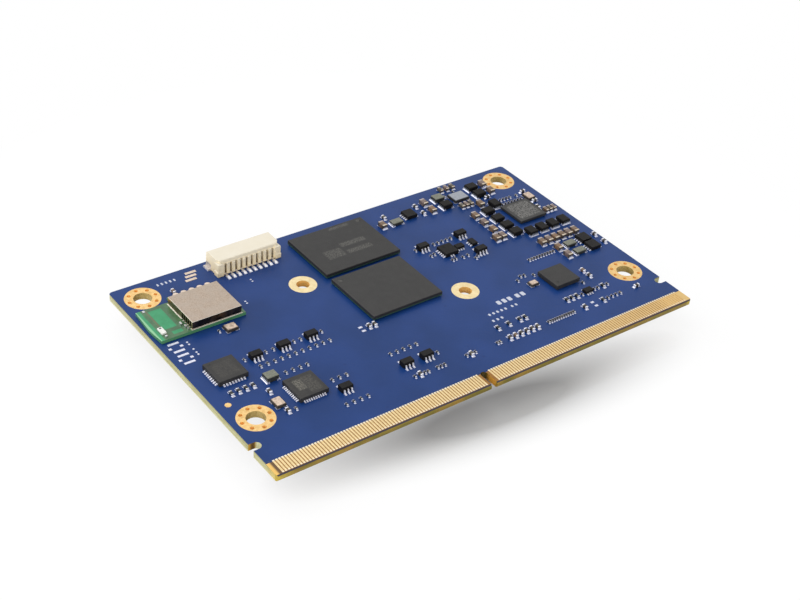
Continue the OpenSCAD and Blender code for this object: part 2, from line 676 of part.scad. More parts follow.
module header_contacts() color(tin) header_frame(seat) for (o = header_way_offsets()) translate([o, 0, 0]) header_pin();

// Tin plate at each end: an upright in the pocket and a foot on the board.
module header_anchors() color(tin) header_frame(seat) for (s = [-1, 1])
    translate([s * header_w / 2, anchor_y + anchor_len / 2, 0]) {
        translate([s * -0.35, 0, 0]) block(0.5, anchor_len, 1);
        translate([s * 0.1, 0, 0]) block(0.7, anchor_len, 0.2);
    }

module header_lands() header_frame(top) {
    for (o = header_way_offsets()) translate([o, -0.95, 0]) block(0.5, 1, land_t);
    for (s = [-1, 1]) translate([s * header_w / 2, anchor_y + anchor_len / 2, 0])
        block(1.02, anchor_len + 0.1, land_t);
}

// Radio: a small board with edge joints at the rear, a shield can and a chip antenna.

function radio_pads() = [for (i = [0 : radio_pad_count - 1]) radio_pad_x + i * radio_pad_step];

module radio_outline() polygon([[radio_left, radio_front], [radio_right, radio_front],
    [radio_right, radio_step_y], [radio_step_x, radio_step_y], [radio_step_x, radio_rear],
    [radio_left, radio_rear], [0.62, 39.3], [0.5, 37.5], [0.58, 36.1]]);

module radio_board() color(laminate_green) difference() {
    place([0, 0], seat) linear_extrude(radio_t) radio_outline();
    for (x = radio_pads()) place([x, radio_step_y], seat - 1) cylinder(r = 0.3, h = 3);
}

module radio_lands() {
    for (x = radio_pads()) {
        place([x, radio_step_y], top) block(0.95, 1, land_t);
        place([x, radio_front + 0.75], top) block(0.95, 0.9, land_t);
    }
    place([2.4, 38], top) block(1.2, 1.2, land_t);
}

// Solder standing in the half holes and bulging behind them
module radio_solder() color(tin) for (x = radio_pads()) place([x, radio_step_y], seat) {
    cylinder(r = 0.3, h = radio_t);
    intersection() {
        cylinder(r = 0.52, h = radio_t * 0.86);
        translate([-1, 0, 0]) cube([2, 1, 2]);
    }
}

// The shield stands on a thin foot that runs round it.
module radio_shield() color(sheet_metal) bar_can() {
    union() {
        cube([can[2], can[3], can_h]);
        translate([-can_foot, -can_foot, 0]) cube([can[2] + 2 * can_foot, can[3] + 2 * can_foot, 0.1]);
    }
    translate([can_t, can_t, -1]) cube([can[2] - 2 * can_t, can[3] - 2 * can_t, can_h - can_t + 1]);
    for (i = [0 : 4]) translate([-1, 0.45 + i * 0.62, -eps]) cube([1 + can_t + eps, 0.36, can_h - 0.2]);
}

// Cuts all but the first child from it, at the can's corner on the radio board.
module bar_can() place([can[0], can[1]], radio_top) difference() {
    children(0);
    children([1 : $children - 1]);
}

module radio_antenna() color("white") place([1.98, 36.05], radio_top) block(0.82, 1.6, 0.35);

module radio_inner_chip() color(mould_dark) place([10.8, 38.2], radio_top) block(5, 5, 0.85);

// Small parts of the radio board: a filter and a crystal inside the can, feed parts and two pads outside it
module radio_small_parts() color(tin) {
    place([14.1, 37], radio_top) block(1.2, 1.6, 0.5);
    place([7.3, 40.3], radio_top) block(1.2, 1, 0.45);
    place([5.4, 36.3], radio_top) block(0.32, 0.6, 0.3);
    place([5.72, 35.33], radio_top) block(0.32, 0.6, 0.3);
    place([5.78, 34.65], radio_top) block(0.3, 0.3, 0.25);
    place([1.98, 34.65], radio_top) block(0.36, 0.36, 0.2);
    place([2, 41.95], radio_top) block(0.4, 0.45, 0.08);
}

circuit_board();
top_contacts();
under_contacts();
corner_hole_plating();
cooler_hole_plating();
target_dot();
spare_lands();
part_lands();
header_housing();
header_contacts();
header_anchors();
radio_board();
radio_solder();
radio_shield();
radio_antenna();
radio_inner_chip();
radio_small_parts();
processor_base();
processor_die();
processor_cover();
processor_balls();
memory_base();
memory_die();
memory_cover();
memory_balls();
power_chip_body();
power_chip_balls();
network_chip_body();
network_chip_balls();
sound_chip_body();
sound_chip_leads();
link_chip_body();
link_chip_leads();
shift_chip_body();
shift_chip_leads();
six_lead_bodies();
six_lead_leads();
eight_lead_bodies();
eight_lead_leads();
tiny_chip_bodies();
tiny_chip_leads();
power_coil_bodies();
dark_coil_bodies();
grey_coil_bodies();
coil_ends();
large_cap_bodies();
medium_cap_bodies();
small_cap_bodies();
cap_ends();
resistor_bodies();
resistor_ends();
grain_bodies();
grain_ends();
crystal_bases();
crystal_lids();
oscillator_base();
oscillator_lid();
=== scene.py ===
import math

import bmesh
import bpy
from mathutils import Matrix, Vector


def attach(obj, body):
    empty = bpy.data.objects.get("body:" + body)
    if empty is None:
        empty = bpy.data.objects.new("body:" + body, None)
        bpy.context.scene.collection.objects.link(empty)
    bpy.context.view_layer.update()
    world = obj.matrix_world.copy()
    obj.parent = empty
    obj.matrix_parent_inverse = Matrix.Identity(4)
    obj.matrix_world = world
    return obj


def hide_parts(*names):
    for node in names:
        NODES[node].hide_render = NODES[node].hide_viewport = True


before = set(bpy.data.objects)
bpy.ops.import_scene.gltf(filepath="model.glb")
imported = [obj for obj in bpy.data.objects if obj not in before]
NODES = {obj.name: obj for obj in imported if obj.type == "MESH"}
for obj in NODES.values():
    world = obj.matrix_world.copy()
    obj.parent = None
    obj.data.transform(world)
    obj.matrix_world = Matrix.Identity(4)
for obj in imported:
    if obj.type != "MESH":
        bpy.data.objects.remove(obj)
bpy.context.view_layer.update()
MM = 0.001

# The camera stands where the photograph's did. Lengths in millimetres, turns in radians.
IMAGE_WIDTH_PX = 800
FOCAL_PX = 1409.12
SENSOR_MM = 36
CAMERA_TURN = (0.94822, -0.07776, -0.63800)
BOARD_FROM_CAMERA = Vector((1.1782, 0.5966, -230.1675))
CLIP_START = 5

BOARD_W = 82
BOARD_D = 50
BOARD_TOP = 1.2
LAND_TOP = 1.25
# The corner holes are HOLE_AWAY from HOLE_MIDDLE both ways
HOLE_MIDDLE = (41, 29)
HOLE_AWAY = (37, 17)
WIDE_BORE = 1.75
# Rings farther than this from every corner hole are the two inner ones
CORNER_RING_ROOM = 8
HEADER_H = 2.9
# How high the bright foot of a coil's end, of a header contact and of the shield can's wall is
COIL_FOOT_H = 0.24
PIN_FOOT_H = 0.3
SHIELD_FOOT_H = 0.14
# How high the pale lower rim and the dull upper rim of the board's walls are
WALL_RIM_H = 0.25
# How far from the front edge bare laminate, the edge's wall and the bevel reach
CONTACT_ZONE = 2.95
FRONT_WALL_ZONE = 0.6
BEVEL_ZONE = 0.45
# The bevel carries a painted dark reflection from this height up
DARK_LINE_FROM = 0.98
# How wide the strips of laminate outside the first and the last contact are
OUTER_STRIP = 1.2
# Over this stretch, from left to right, the laminate between the contacts takes on their colour
FADE_FROM = 75.5
FADE_TO = 78
# Level rectangles, as left, right, front and rear, some with how soft their edges are
KEY_SLOT = (38, 40, 0.5, 3.4)
LEFT_NOTCH = (0.04, 1.9, 6, 7.8)
HEADER_BARS = (11, 16, 46, 49.5)
RADIO_CLEAR = ((2.5, 4.75, 36.3, 41.6, 0.06), (3.3, 5, 34.6, 35.4, 0.06), (0, 1.5, 33, 43, 0.1))
RADIO_TRACES = ((2.15, 2.45, 36.8, 42, 0.06), (2.2, 2.5, 34.9, 36.8, 0.06))
# Where a highlight is painted along the radio board's left rim
RADIO_LEFT_HIGHLIGHT = (0, 0.95, 33, 43, 0.05)
ANTENNA_DOT = (1.8, 2.15, 36.4, 36.7, 0.05)
CORNER = Vector((BOARD_W / 2, BOARD_D / 2, 0))
UP = Vector((0, 0, 1))

TABLE_SIZE = 4000
TABLE_WHITE = (0.97, 0.97, 0.97)
FLOOR_DROP = 4
# Between these distances from the board's middle the table turns plain white
FLOOR_NEAR = 58
FLOOR_FAR = 90
# A painted shadow darkens the table's colour towards SHADE_DARK in an ellipse round a place given from the
# board's middle. It is darkest out to the share SHADE_CORE of its reach. SHADE_LIFT is how much plain
# white lies over it, there and at its rim.
SHADE_MIDDLE = (-0.8, -25.4)
SHADE_REACH = (41.8, 9.8)
SHADE_TURN = -0.083
SHADE_CORE = 0.31
SHADE_DARK = (0.685, 0.685, 0.685)
SHADE_LIFT = (0.13, 0.83)
# The camera sees this part of the table through the key slot, and no white is laid over it
UNDER_SLOT = (38, 50, 4.9, 10, 0.5)
# Where the soft light is strongest, and how strong it is there and opposite
WORLD_BRIGHT_SIDE = (-0.35, 0.45, 0.8)
WORLD_BRIGHT = 0.88
WORLD_DARK = 0.2
# Lamps, with power in watts
KEY_PLACE = (-300, 420, 620)
KEY_SIZE = 1000
KEY_POWER = 3.6
FILL_PLACE = (-260, -420, 160)
FILL_SIZE = 500
FILL_POWER = 1.1


def spot(x, y, z):
    """A place given in millimetres from the board's front left corner, in the frame's metres."""
    return (Vector((x, y, z)) - CORNER) * MM


# Camera, light and floor

def add_camera():
    """The camera that took the photograph."""
    data = bpy.data.cameras.new("camera")
    data.sensor_width = SENSOR_MM
    data.lens = FOCAL_PX * SENSOR_MM / IMAGE_WIDTH_PX
    data.clip_start = CLIP_START * MM
    camera = bpy.data.objects.new("camera", data)
    bpy.context.scene.collection.objects.link(camera)
    camera.rotation_euler = CAMERA_TURN
    away = camera.rotation_euler.to_matrix() @ -BOARD_FROM_CAMERA
    camera.location = (away + Vector((0, 0, BOARD_TOP))) * MM
    bpy.context.scene.camera = camera


def add_lamp(name, place_mm, size_mm, watts):
    """A round lamp that points at the board's middle."""
    data = bpy.data.lights.new(name, "AREA")
    data.shape = "DISK"
    data.size = size_mm * MM
    data.energy = watts
    lamp = bpy.data.objects.new(name, data)
    bpy.context.scene.collection.objects.link(lamp)
    lamp.location = Vector(place_mm) * MM
    lamp.rotation_euler = (-Vector(place_mm)).to_track_quat("-Z", "Y").to_euler()


def add_world():
    """Soft light, strongest from above, behind and left. It is plain white where it is seen or mirrored."""
    world = bpy.data.worlds.new("world")
    bpy.context.scene.world = world
    world.use_nodes = True
    nodes = world.node_tree.nodes
    links = world.node_tree.links
    back = nodes["Background"]
    back.inputs["Color"].default_value = (1, 1, 1, 1)
    rays = nodes.new("ShaderNodeLightPath")
    seen = nodes.new("ShaderNodeMath")
    seen.operation = "MAXIMUM"
    links.new(rays.outputs["Is Camera Ray"], seen.inputs[0])
    links.new(rays.outputs["Is Transmission Ray"], seen.inputs[1])
    plain = nodes.new("ShaderNodeMath")
    plain.operation = "MAXIMUM"
    links.new(seen.outputs[0], plain.inputs[0])
    links.new(rays.outputs["Is Glossy Ray"], plain.inputs[1])
    place = nodes.new("ShaderNodeTexCoord")
    side = nodes.new("ShaderNodeVectorMath")
    side.operation = "DOT_PRODUCT"
    side.inputs[1].default_value = Vector(WORLD_BRIGHT_SIDE).normalized()
    links.new(place.outputs["Generated"], side.inputs[0])
    soft = nodes.new("ShaderNodeMapRange")
    soft.inputs["From Min"].default_value = -1
    soft.inputs["To Min"].default_value = WORLD_DARK
    soft.inputs["To Max"].default_value = WORLD_BRIGHT
    links.new(side.outputs["Value"], soft.inputs["Value"])
    level = nodes.new("ShaderNodeMix")
    level.inputs[3].default_value = 1
    links.new(plain.outputs[0], level.inputs[0])
    links.new(soft.outputs["Result"], level.inputs[2])
    links.new(level.outputs[0], back.inputs["Strength"])


def shadow_distance(made):
    """How far a place on the table is from the shadow's middle, where one is the ellipse's rim."""
    right, rear = [made.minus(made.axis(i), SHADE_MIDDLE[i] + CORNER[i]) for i in (0, 1)]
    cos = math.cos(SHADE_TURN)
    sin = math.sin(SHADE_TURN)
    squares = []
    for (right_share, rear_share), reach in zip(((cos, sin), (-sin, cos)), SHADE_REACH):
        offset = made.plus(made.times(right, right_share / reach), made.times(rear, rear_share / reach))
        squares.append(made.times(offset, offset))
    return made.math("SQRT", made.plus(*squares))


def add_floor():
    """A white glossy table whose colour holds a painted shadow near the board. Away from the board, where
    no shadow falls, it shows as plain white.
    """
    bpy.ops.mesh.primitive_plane_add(size=TABLE_SIZE * MM, location=(0, 0, -FLOOR_DROP * MM))
    floor = bpy.context.object
    floor.name = "floor"
    made = Recipe("floor", TABLE_WHITE, 0.3)
    made.value("Specular IOR Level", 0.3)
    made.value("Coat Weight", 0.6)
    made.value("Coat Roughness", 0.05)
    made.rough(made.stretch(made.noise(40, 2), 0.3, 0.7, 0.28, 0.34))
    rays = made.nodes.new("ShaderNodeLightPath")
    away = made.nodes.new("ShaderNodeVectorMath")
    away.operation = "LENGTH"
    made.links.new(made.coordinates, away.inputs[0])
    far = made.stretch(away.outputs["Value"], FLOOR_NEAR * MM, FLOOR_FAR * MM)
    beside = made.stretch(shadow_distance(made), SHADE_CORE, 1)
    # Painted shadow: the table's own colour darkens inside the ellipse
    made.colour(made.mix(beside, SHADE_DARK, TABLE_WHITE))
    # Painted light: plain white, seen only by camera rays, lightens the shadow
    lift = made.stretch(beside, 0, 1, *SHADE_LIFT)
    lift = made.times(lift, made.minus(1, made.patch(*UNDER_SLOT)))
    plain = made.times(made.larger(far, lift), rays.outputs["Is Camera Ray"])
    white = made.nodes.new("ShaderNodeEmission")
    blend = made.nodes.new("ShaderNodeMixShader")
    made.links.new(plain, blend.inputs[0])
    made.links.new(made.shader.outputs[0], blend.inputs[1])
    made.links.new(white.outputs[0], blend.inputs[2])
    made.links.new(blend.outputs[0], made.nodes["Material Output"].inputs["Surface"])
    floor.data.materials.append(made.material)


# Materials

class Recipe:
    """A Principled material with helpers for the nodes that feed it."""

    def __init__(self, name, base, roughness, metallic=0.0):
        self.material = bpy.data.materials.new(name)
        self.material.use_nodes = True
        self.nodes = self.material.node_tree.nodes
        self.links = self.material.node_tree.links
        self.shader = self.nodes["Principled BSDF"]
        self.shader.inputs["Base Color"].default_value = (*linear(base), 1)
        self.shader.inputs["Roughness"].default_value = roughness
        self.shader.inputs["Metallic"].default_value = metallic
        self.coordinates = self.nodes.new("ShaderNodeTexCoord").outputs["Object"]

    def value(self, socket, number):
        self.shader.inputs[socket].default_value = number

    def feed(self, source, target):
        """Links a socket to an input, or sets the input to a colour or a number."""
        if isinstance(source, bpy.types.NodeSocket):
            self.links.new(source, target)
        elif isinstance(source, tuple):
            target.default_value = (*linear(source), 1)
        else:
            target.default_value = source

    def noise(self, grain_mm, detail=3.0, stretch=(1, 1, 1)):
        """Noise whose largest lumps are about grain_mm across."""
        at = self.coordinates
        if stretch != (1, 1, 1):
            mapping = self.nodes.new("ShaderNodeMapping")
            mapping.inputs["Scale"].default_value = stretch
            self.links.new(at, mapping.inputs["Vector"])
            at = mapping.outputs["Vector"]
        node = self.nodes.new("ShaderNodeTexNoise")
        node.inputs["Scale"].default_value = 1 / (grain_mm * MM)
        node.inputs["Detail"].default_value = detail
        self.links.new(at, node.inputs["Vector"])
        return node.outputs["Fac"]

    def clouds(self, grain_mm, detail=3.0, stretch=(1, 1, 1)):
        """Noise with more contrast, from zero to one."""
        return self.stretch(self.noise(grain_mm, detail, stretch), 0.3, 0.7)

    def cells(self, grain_mm):
        """Distance to the nearest of many scattered points, as a share of the spacing grain_mm."""
        node = self.nodes.new("ShaderNodeTexVoronoi")
        node.inputs["Scale"].default_value = 1 / (grain_mm * MM)
        self.links.new(self.coordinates, node.inputs["Vector"])
        return node.outputs["Distance"]

    def stretch(self, source, low, high, to_low=0.0, to_high=1.0):
        """Takes low to to_low and high to to_high, and stays at these beyond."""
        node = self.nodes.new("ShaderNodeMapRange")
        self.feed(source, node.inputs["Value"])
        node.inputs["From Min"].default_value = low
        node.inputs["From Max"].default_value = high
        node.inputs["To Min"].default_value = to_low
        node.inputs["To Max"].default_value = to_high
        return node.outputs["Result"]

    def math(self, operation, a, b=0.0):
        node = self.nodes.new("ShaderNodeMath")
        node.operation = operation
        self.feed(a, node.inputs[0])
        self.feed(b, node.inputs[1])
        return node.outputs[0]

    def plus(self, a, b):
        return self.math("ADD", a, b)

    def minus(self, a, b):
        return self.math("SUBTRACT", a, b)

    def times(self, a, b):
        return self.math("MULTIPLY", a, b)

    def larger(self, a, b):
        return self.math("MAXIMUM", a, b)

    def above(self, a, b):
        return self.math("GREATER_THAN", a, b)

    def below(self, a, b):
        return self.math("LESS_THAN", a, b)

    def mix(self, amount, a, b):
        """The colour a where amount is zero, and b where it is one."""
        node = self.nodes.new("ShaderNodeMix")
        node.data_type = "RGBA"
        self.feed(amount, node.inputs["Factor"])
        self.feed(a, node.inputs[6])
        self.feed(b, node.inputs[7])
        return node.outputs[2]

    def axis(self, index):
        """Millimetres from the board's left side (0), its front edge (1) or its underside (2)."""
        node = self.nodes.new("ShaderNodeSeparateXYZ")
        self.links.new(self.coordinates, node.inputs[0])
        return self.plus(self.times(node.outputs[index], 1 / MM), CORNER[index])

    def facing(self, index):
        """How far a face looks along an axis: one along it, zero across it, minus one against it."""
        geometry = self.nodes.new("ShaderNodeNewGeometry")
        node = self.nodes.new("ShaderNodeSeparateXYZ")
        self.links.new(geometry.outputs["True Normal"], node.inputs[0])
        return node.outputs[index]

    def facing_up(self):
        """One on level faces, zero on upright ones."""
        return self.math("ABSOLUTE", self.facing(2))

    def between(self, source, low, high, soft=0.02):
        """One where low < source < high, with edges that blend over soft to either side."""
        rise = self.stretch(source, low - soft, low + soft)
        fall = self.stretch(source, high - soft, high + soft, 1, 0)
        return self.times(rise, fall)

    def patch(self, x0, x1, y0, y1, soft=0.03):
        """One inside a level rectangle that is given from the board's front left corner."""
        across = self.between(self.axis(0), x0, x1, soft)
        along = self.between(self.axis(1), y0, y1, soft)
        return self.times(across, along)

    def patches(self, rectangles):
        """One inside any of these rectangles."""
        inside = 0.0
        for rectangle in rectangles:
            inside = self.larger(inside, self.patch(*rectangle))
        return inside

    def colour(self, source):
        self.feed(source, self.shader.inputs["Base Color"])

    def rough(self, source):
        self.feed(source, self.shader.inputs["Roughness"])

    def bump(self, height, depth_mm, strength):
        node = self.nodes.new("ShaderNodeBump")
        node.inputs["Distance"].default_value = depth_mm * MM
        node.inputs["Strength"].default_value = strength
        self.links.new(height, node.inputs["Height"])
        self.links.new(node.outputs["Normal"], self.shader.inputs["Normal"])

    def grainy(self, source, smooth, rough, depth_mm, strength=0.5):
        """Roughness from smooth to rough, and a fine relief, that both follow source."""
        self.rough(self.stretch(source, 0, 1, smooth, rough))
        self.bump(source, depth_mm, strength)


def linear(colour):
    """The linear values of a colour given as 0 to 1 screen values."""
    return tuple(c / 12.92 if c <= 0.04045 else ((c + 0.055) / 1.055) ** 2.4 for c in colour)


def rgb(red, green, blue):
    """A colour given as 0 to 255 screen values, as 0 to 1."""
    return (red / 255, green / 255, blue / 255)


# A face of the board is level where it looks up or down by more than this
LEVEL = 0.97


def board_faces(made, side, depth):
    """Blue mask over faint covered vias, and bare laminate round the contacts."""
    blue = made.mix(made.stretch(made.noise(9), 0.35, 0.65), rgb(13, 50, 106), rgb(22, 57, 118))
    vias = made.stretch(made.cells(2.3), 0.09, 0.13, 0.3, 0)
    few = made.stretch(made.noise(5, 1), 0.5, 0.6)
    blue = made.mix(made.times(vias, few), blue, rgb(8, 34, 84))
    weave = made.clouds(0.25, 2, (1, 3, 1))
    bare = made.mix(weave, rgb(132, 90, 38), rgb(158, 112, 52))
    bare = made.mix(made.stretch(side, FADE_FROM, FADE_TO), bare, rgb(204, 166, 104))
    outer = made.mix(made.stretch(side, 0.4, 0.7), rgb(232, 188, 104), rgb(104, 80, 56))
    outer = made.mix(made.above(side, CORNER.x), outer, rgb(214, 180, 116))
    bare = made.mix(made.between(side, OUTER_STRIP, BOARD_W - OUTER_STRIP, 0.03), outer, bare)
    return made.mix(made.below(depth, CONTACT_ZONE), blue, bare)


def board_walls(made, side, depth, height):
    """Layered laminate, pale and glassy at the sides, and darker along the contacts, in part painted shade,
    with patchy tone.
    """
    layer = made.stretch(made.noise(0.16, 2, (0.05, 0.05, 1)), 0.35, 0.65)
    wall_patches = made.stretch(made.noise(3.5), 0.38, 0.62)
    wall = made.mix(layer, rgb(158, 150, 92), rgb(192, 190, 142))
    low_rim = made.between(height, -1, WALL_RIM_H, 0.1)
    wall = made.mix(made.times(low_rim, 0.5), wall, rgb(222, 218, 172))
    high_rim = made.between(height, BOARD_TOP - WALL_RIM_H, BOARD_TOP + 1, 0.08)
    wall = made.mix(made.times(high_rim, 0.6), wall, rgb(142, 138, 78))
    near_front = made.stretch(depth, 0.3, 3.2, 0.8, 0)
    wall = made.mix(near_front, wall, rgb(218, 190, 92))
    # Painted shade: the front wall along the contacts is darker than the side walls, and brighter towards
    # both ends
    shaded_front_wall = made.mix(wall_patches, rgb(108, 98, 30), rgb(146, 114, 44))
    shaded_front_wall = made.mix(made.times(layer, 0.35), shaded_front_wall, rgb(166, 144, 62))
    left_end = made.stretch(side, 0.3, 3, 1, 0)
    right_end = made.between(side, BOARD_W - 1, BOARD_W + 1, 0.3)
    shaded_front_wall = made.mix(made.times(made.larger(left_end, right_end), 0.7), shaded_front_wall, rgb(204, 178, 70))
    wall = made.mix(made.below(depth, FRONT_WALL_ZONE), wall, shaded_front_wall)
    # Painted shade darkens the middle of the notch's wall, and a painted highlight makes its inner end pale
    notch_shade_and_highlight = made.mix(made.between(side, 0.4, 1.15, 0.18), rgb(190, 146, 52), rgb(96, 70, 22))
    notch_shade_and_highlight = made.mix(made.stretch(side, 1.1, 1.4), notch_shade_and_highlight, rgb(214, 214, 172))
    wall = made.mix(made.patch(*LEFT_NOTCH), wall, notch_shade_and_highlight)
    slot = made.mix(wall_patches, rgb(180, 116, 26), rgb(200, 146, 56))
    # Painted shade: the slot's walls darken towards its inner end
    slot = made.mix(made.stretch(depth, 1.9, 2.8), slot, rgb(78, 66, 24))
    return made.mix(made.patch(*KEY_SLOT), wall, slot)


def mask_material():
    """The board: its faces, its walls, and a painted dark reflection along the contact bevel's upper rim.
    """
    made = Recipe("blue_mask", rgb(20, 46, 108), 0.34)
    made.value("Specular IOR Level", 0.25)
    side = made.axis(0)
    depth = made.axis(1)
    height = made.axis(2)
    up = made.facing_up()
    # Painted dark reflection on the upper part of the contact bevel
    bevel = made.times(made.between(up, 0.1, LEVEL, 0.02), made.below(depth, BEVEL_ZONE))
    bevel = made.times(bevel, made.above(height, DARK_LINE_FROM))
    walls = board_walls(made, side, depth, height)
    colour = made.mix(made.above(up, LEVEL), walls, board_faces(made, side, depth))
    made.colour(made.mix(bevel, colour, rgb(66, 60, 70)))
    made.bump(made.noise(0.6), 0.02, 0.3)
    return made.material


def metal_material(name, light, dark, roughness, grain_mm=0.3, metallic=1.0):
    """Metal, or solder and plating where metallic is below one, in two tones."""
    made = Recipe(name, light, roughness, metallic)
    patchy = made.noise(grain_mm)
    made.colour(made.mix(made.stretch(patchy, 0.3, 0.7), dark, light))
    made.rough(made.stretch(patchy, 0.3, 0.7, roughness * 0.8, roughness * 1.25))
    made.bump(patchy, 0.01, 0.5)
    return made.material


def contact_material():
    """Gilt contacts, paler at both their ends and duller towards the right."""
    made = Recipe("contact_gold", rgb(246, 222, 172), 0.36, 1.0)
    patchy = made.clouds(0.3)
    gilt = made.mix(patchy, rgb(228, 202, 148), rgb(242, 219, 170))
    gilt = made.mix(made.stretch(made.axis(0), 45, BOARD_W), gilt, rgb(222, 187, 126))
    depth = made.axis(1)
    tips = made.larger(made.stretch(depth, 2.8, 3), made.stretch(depth, 0.4, 0.7, 1, 0))
    made.colour(made.mix(made.times(tips, 0.8), gilt, rgb(250, 240, 216)))
    made.grainy(patchy, 0.3, 0.45, 0.01)
    return made.material


def ring_material():
    """Gilt rings, paler round the two inner holes. Corner bores are dull gold, and others shine orange."""
    made = Recipe("ring_gold", rgb(250, 216, 158), 0.4, 1.0)
    patchy = made.clouds(0.5)
    flat = made.mix(patchy, rgb(224, 184, 118), rgb(240, 206, 146))
    wide = made.mix(patchy, rgb(176, 150, 84), rgb(206, 182, 118))
    small = made.mix(patchy, rgb(255, 200, 112), rgb(255, 212, 130))
    squares = []
    for i in (0, 1):
        from_middle = made.math("ABSOLUTE", made.minus(made.axis(i), HOLE_MIDDLE[i]))
        offset = made.minus(from_middle, HOLE_AWAY[i])
        squares.append(made.times(offset, offset))
    away = made.math("SQRT", made.plus(*squares))
    bore = made.mix(made.above(away, WIDE_BORE), wide, small)
    pale = made.mix(patchy, rgb(232, 210, 160), rgb(244, 226, 182))
    flat = made.mix(made.above(away, CORNER_RING_ROOM), flat, pale)
    up = made.above(made.facing_up(), 0.5)
    made.colour(made.mix(up, bore, flat))
    made.feed(made.stretch(up, 0, 1, 0.25, 1), made.shader.inputs["Metallic"])
    made.grainy(patchy, 0.34, 0.5, 0.01)
    return made.material


def coil_foot_material():
    """Bright solder round the foot of a coil, and a duller plate up its end."""
    made = Recipe("coil_foot", rgb(226, 228, 236), 0.36, 0.9)
    patchy = made.clouds(0.3)
    foot = made.mix(patchy, rgb(206, 208, 216), rgb(236, 238, 246))
    plate = made.mix(patchy, rgb(112, 114, 108), rgb(138, 138, 130))
    made.colour(made.mix(made.above(made.axis(2), LAND_TOP + COIL_FOOT_H), foot, plate))
    made.grainy(patchy, 0.32, 0.46, 0.008)
    return made.material


def compound(made, light, dark, grain_mm):
    """The filler grain of a moulded compound, and its colour."""
    grain = made.stretch(made.noise(grain_mm, 4), 0.35, 0.65)
    base = made.mix(made.clouds(1.3), dark, light)
    return grain, made.mix(made.times(grain, 0.35), base, dark)


def mould_material(name, light, dark, grain_mm, roughness=0.55, shine=0.5):
    """Moulded compound: matt, with fine filler grain."""
    made = Recipe(name, light, roughness)
    made.value("Specular IOR Level", shine)
    grain, colour = compound(made, light, dark, grain_mm)
    made.colour(colour)
    made.grainy(grain, roughness - 0.05, roughness + 0.11, 0.012, 0.6)
    return made.material


def print_material(name, light, dark, fields, ink, worn_mm):
    """Moulded compound with worn, pale marks in fields given as x0, x1, y0, y1 and a strength."""
    made = Recipe(name, light, 0.55)
    grain, colour = compound(made, light, dark, 0.08)
    worn = made.stretch(made.noise(worn_mm, 2), 0.36, 0.66)
    marks = 0.0
    for x0, x1, y0, y1, strength in fields:
        marks = made.larger(marks, made.times(made.patch(x0, x1, y0, y1, MARK_SOFT), strength))
    marks = made.times(marks, worn)
    made.colour(made.mix(made.times(marks, made.facing_up()), colour, ink))
    made.grainy(grain, 0.5, 0.66, 0.012, 0.6)
    return made.material


def ceramic_material(name, light, dark, roughness, grain_mm=0.25, shine=0.5, wall=1.0):
    """Fired or pressed material. wall is how bright its upright faces are painted beside its level ones, a
    painted shade where it is below one.
    """
    made = Recipe(name, light, roughness)
    made.value("Specular IOR Level", shine)
    cloud = made.clouds(grain_mm)
    level = made.mix(cloud, dark, light)
    # Painted shade: upright faces take the colours scaled by wall
    if wall < 1:
        shaded_upright = made.mix(cloud, *[tuple(part * wall for part in colour) for colour in (dark, light)])
        level = made.mix(made.stretch(made.facing_up(), 0.3, 0.8), shaded_upright, level)
    made.colour(level)
    made.grainy(cloud, roughness * 0.85, roughness * 1.2, 0.006)
    return made.material


def green_material():
    """The radio board: olive mask, bright green where there is no copper under it, and a painted highlight
    along its left rim.
    """
    made = Recipe("green_mask", rgb(70, 150, 105), 0.3)
    cloud = made.clouds(1.2)
    olive = made.mix(cloud, rgb(50, 92, 58), rgb(72, 112, 74))
    clear = made.mix(cloud, rgb(22, 134, 82), rgb(38, 150, 98))
    top = made.mix(made.patches(RADIO_CLEAR), olive, clear)
    top = made.mix(made.times(made.patches(RADIO_TRACES), 0.6), top, rgb(104, 98, 66))
    # Painted highlight along the left rim
    top = made.mix(made.times(made.patch(*RADIO_LEFT_HIGHLIGHT), 0.55), top, rgb(176, 226, 176))
    edge = made.mix(made.noise(0.2, 2, (0.1, 0.1, 1)), rgb(62, 122, 78), rgb(96, 154, 108))
    up = made.above(made.facing_up(), 0.9)
    made.colour(made.mix(up, edge, top))
    made.value("Coat Weight", 0.3)
    made.value("Coat Roughness", 0.12)
    made.bump(made.noise(0.5), 0.01, 0.4)
    return made.material


def header_material():
    """Cream moulding, greyer on top. Its walls are painted brighter than the top, a painted light, and
    warmer and a little darker low down, a painted shade.
    """
    made = Recipe("header_plastic", rgb(226, 216, 192), 0.42)
    cloud = made.clouds(2.2)
    # Painted light on the walls beside the top, and painted shade low on the walls
    low = made.stretch(made.axis(2), BOARD_TOP, BOARD_TOP + HEADER_H)
    wall = made.mix(low, rgb(252, 230, 184), rgb(255, 242, 212))
    top = made.mix(made.times(cloud, 0.4), rgb(228, 220, 202), rgb(218, 208, 184))
    made.colour(made.mix(made.stretch(made.facing_up(), 0.3, 0.9), wall, top))
    made.bump(made.noise(0.3), 0.008, 0.4)
    return made.material


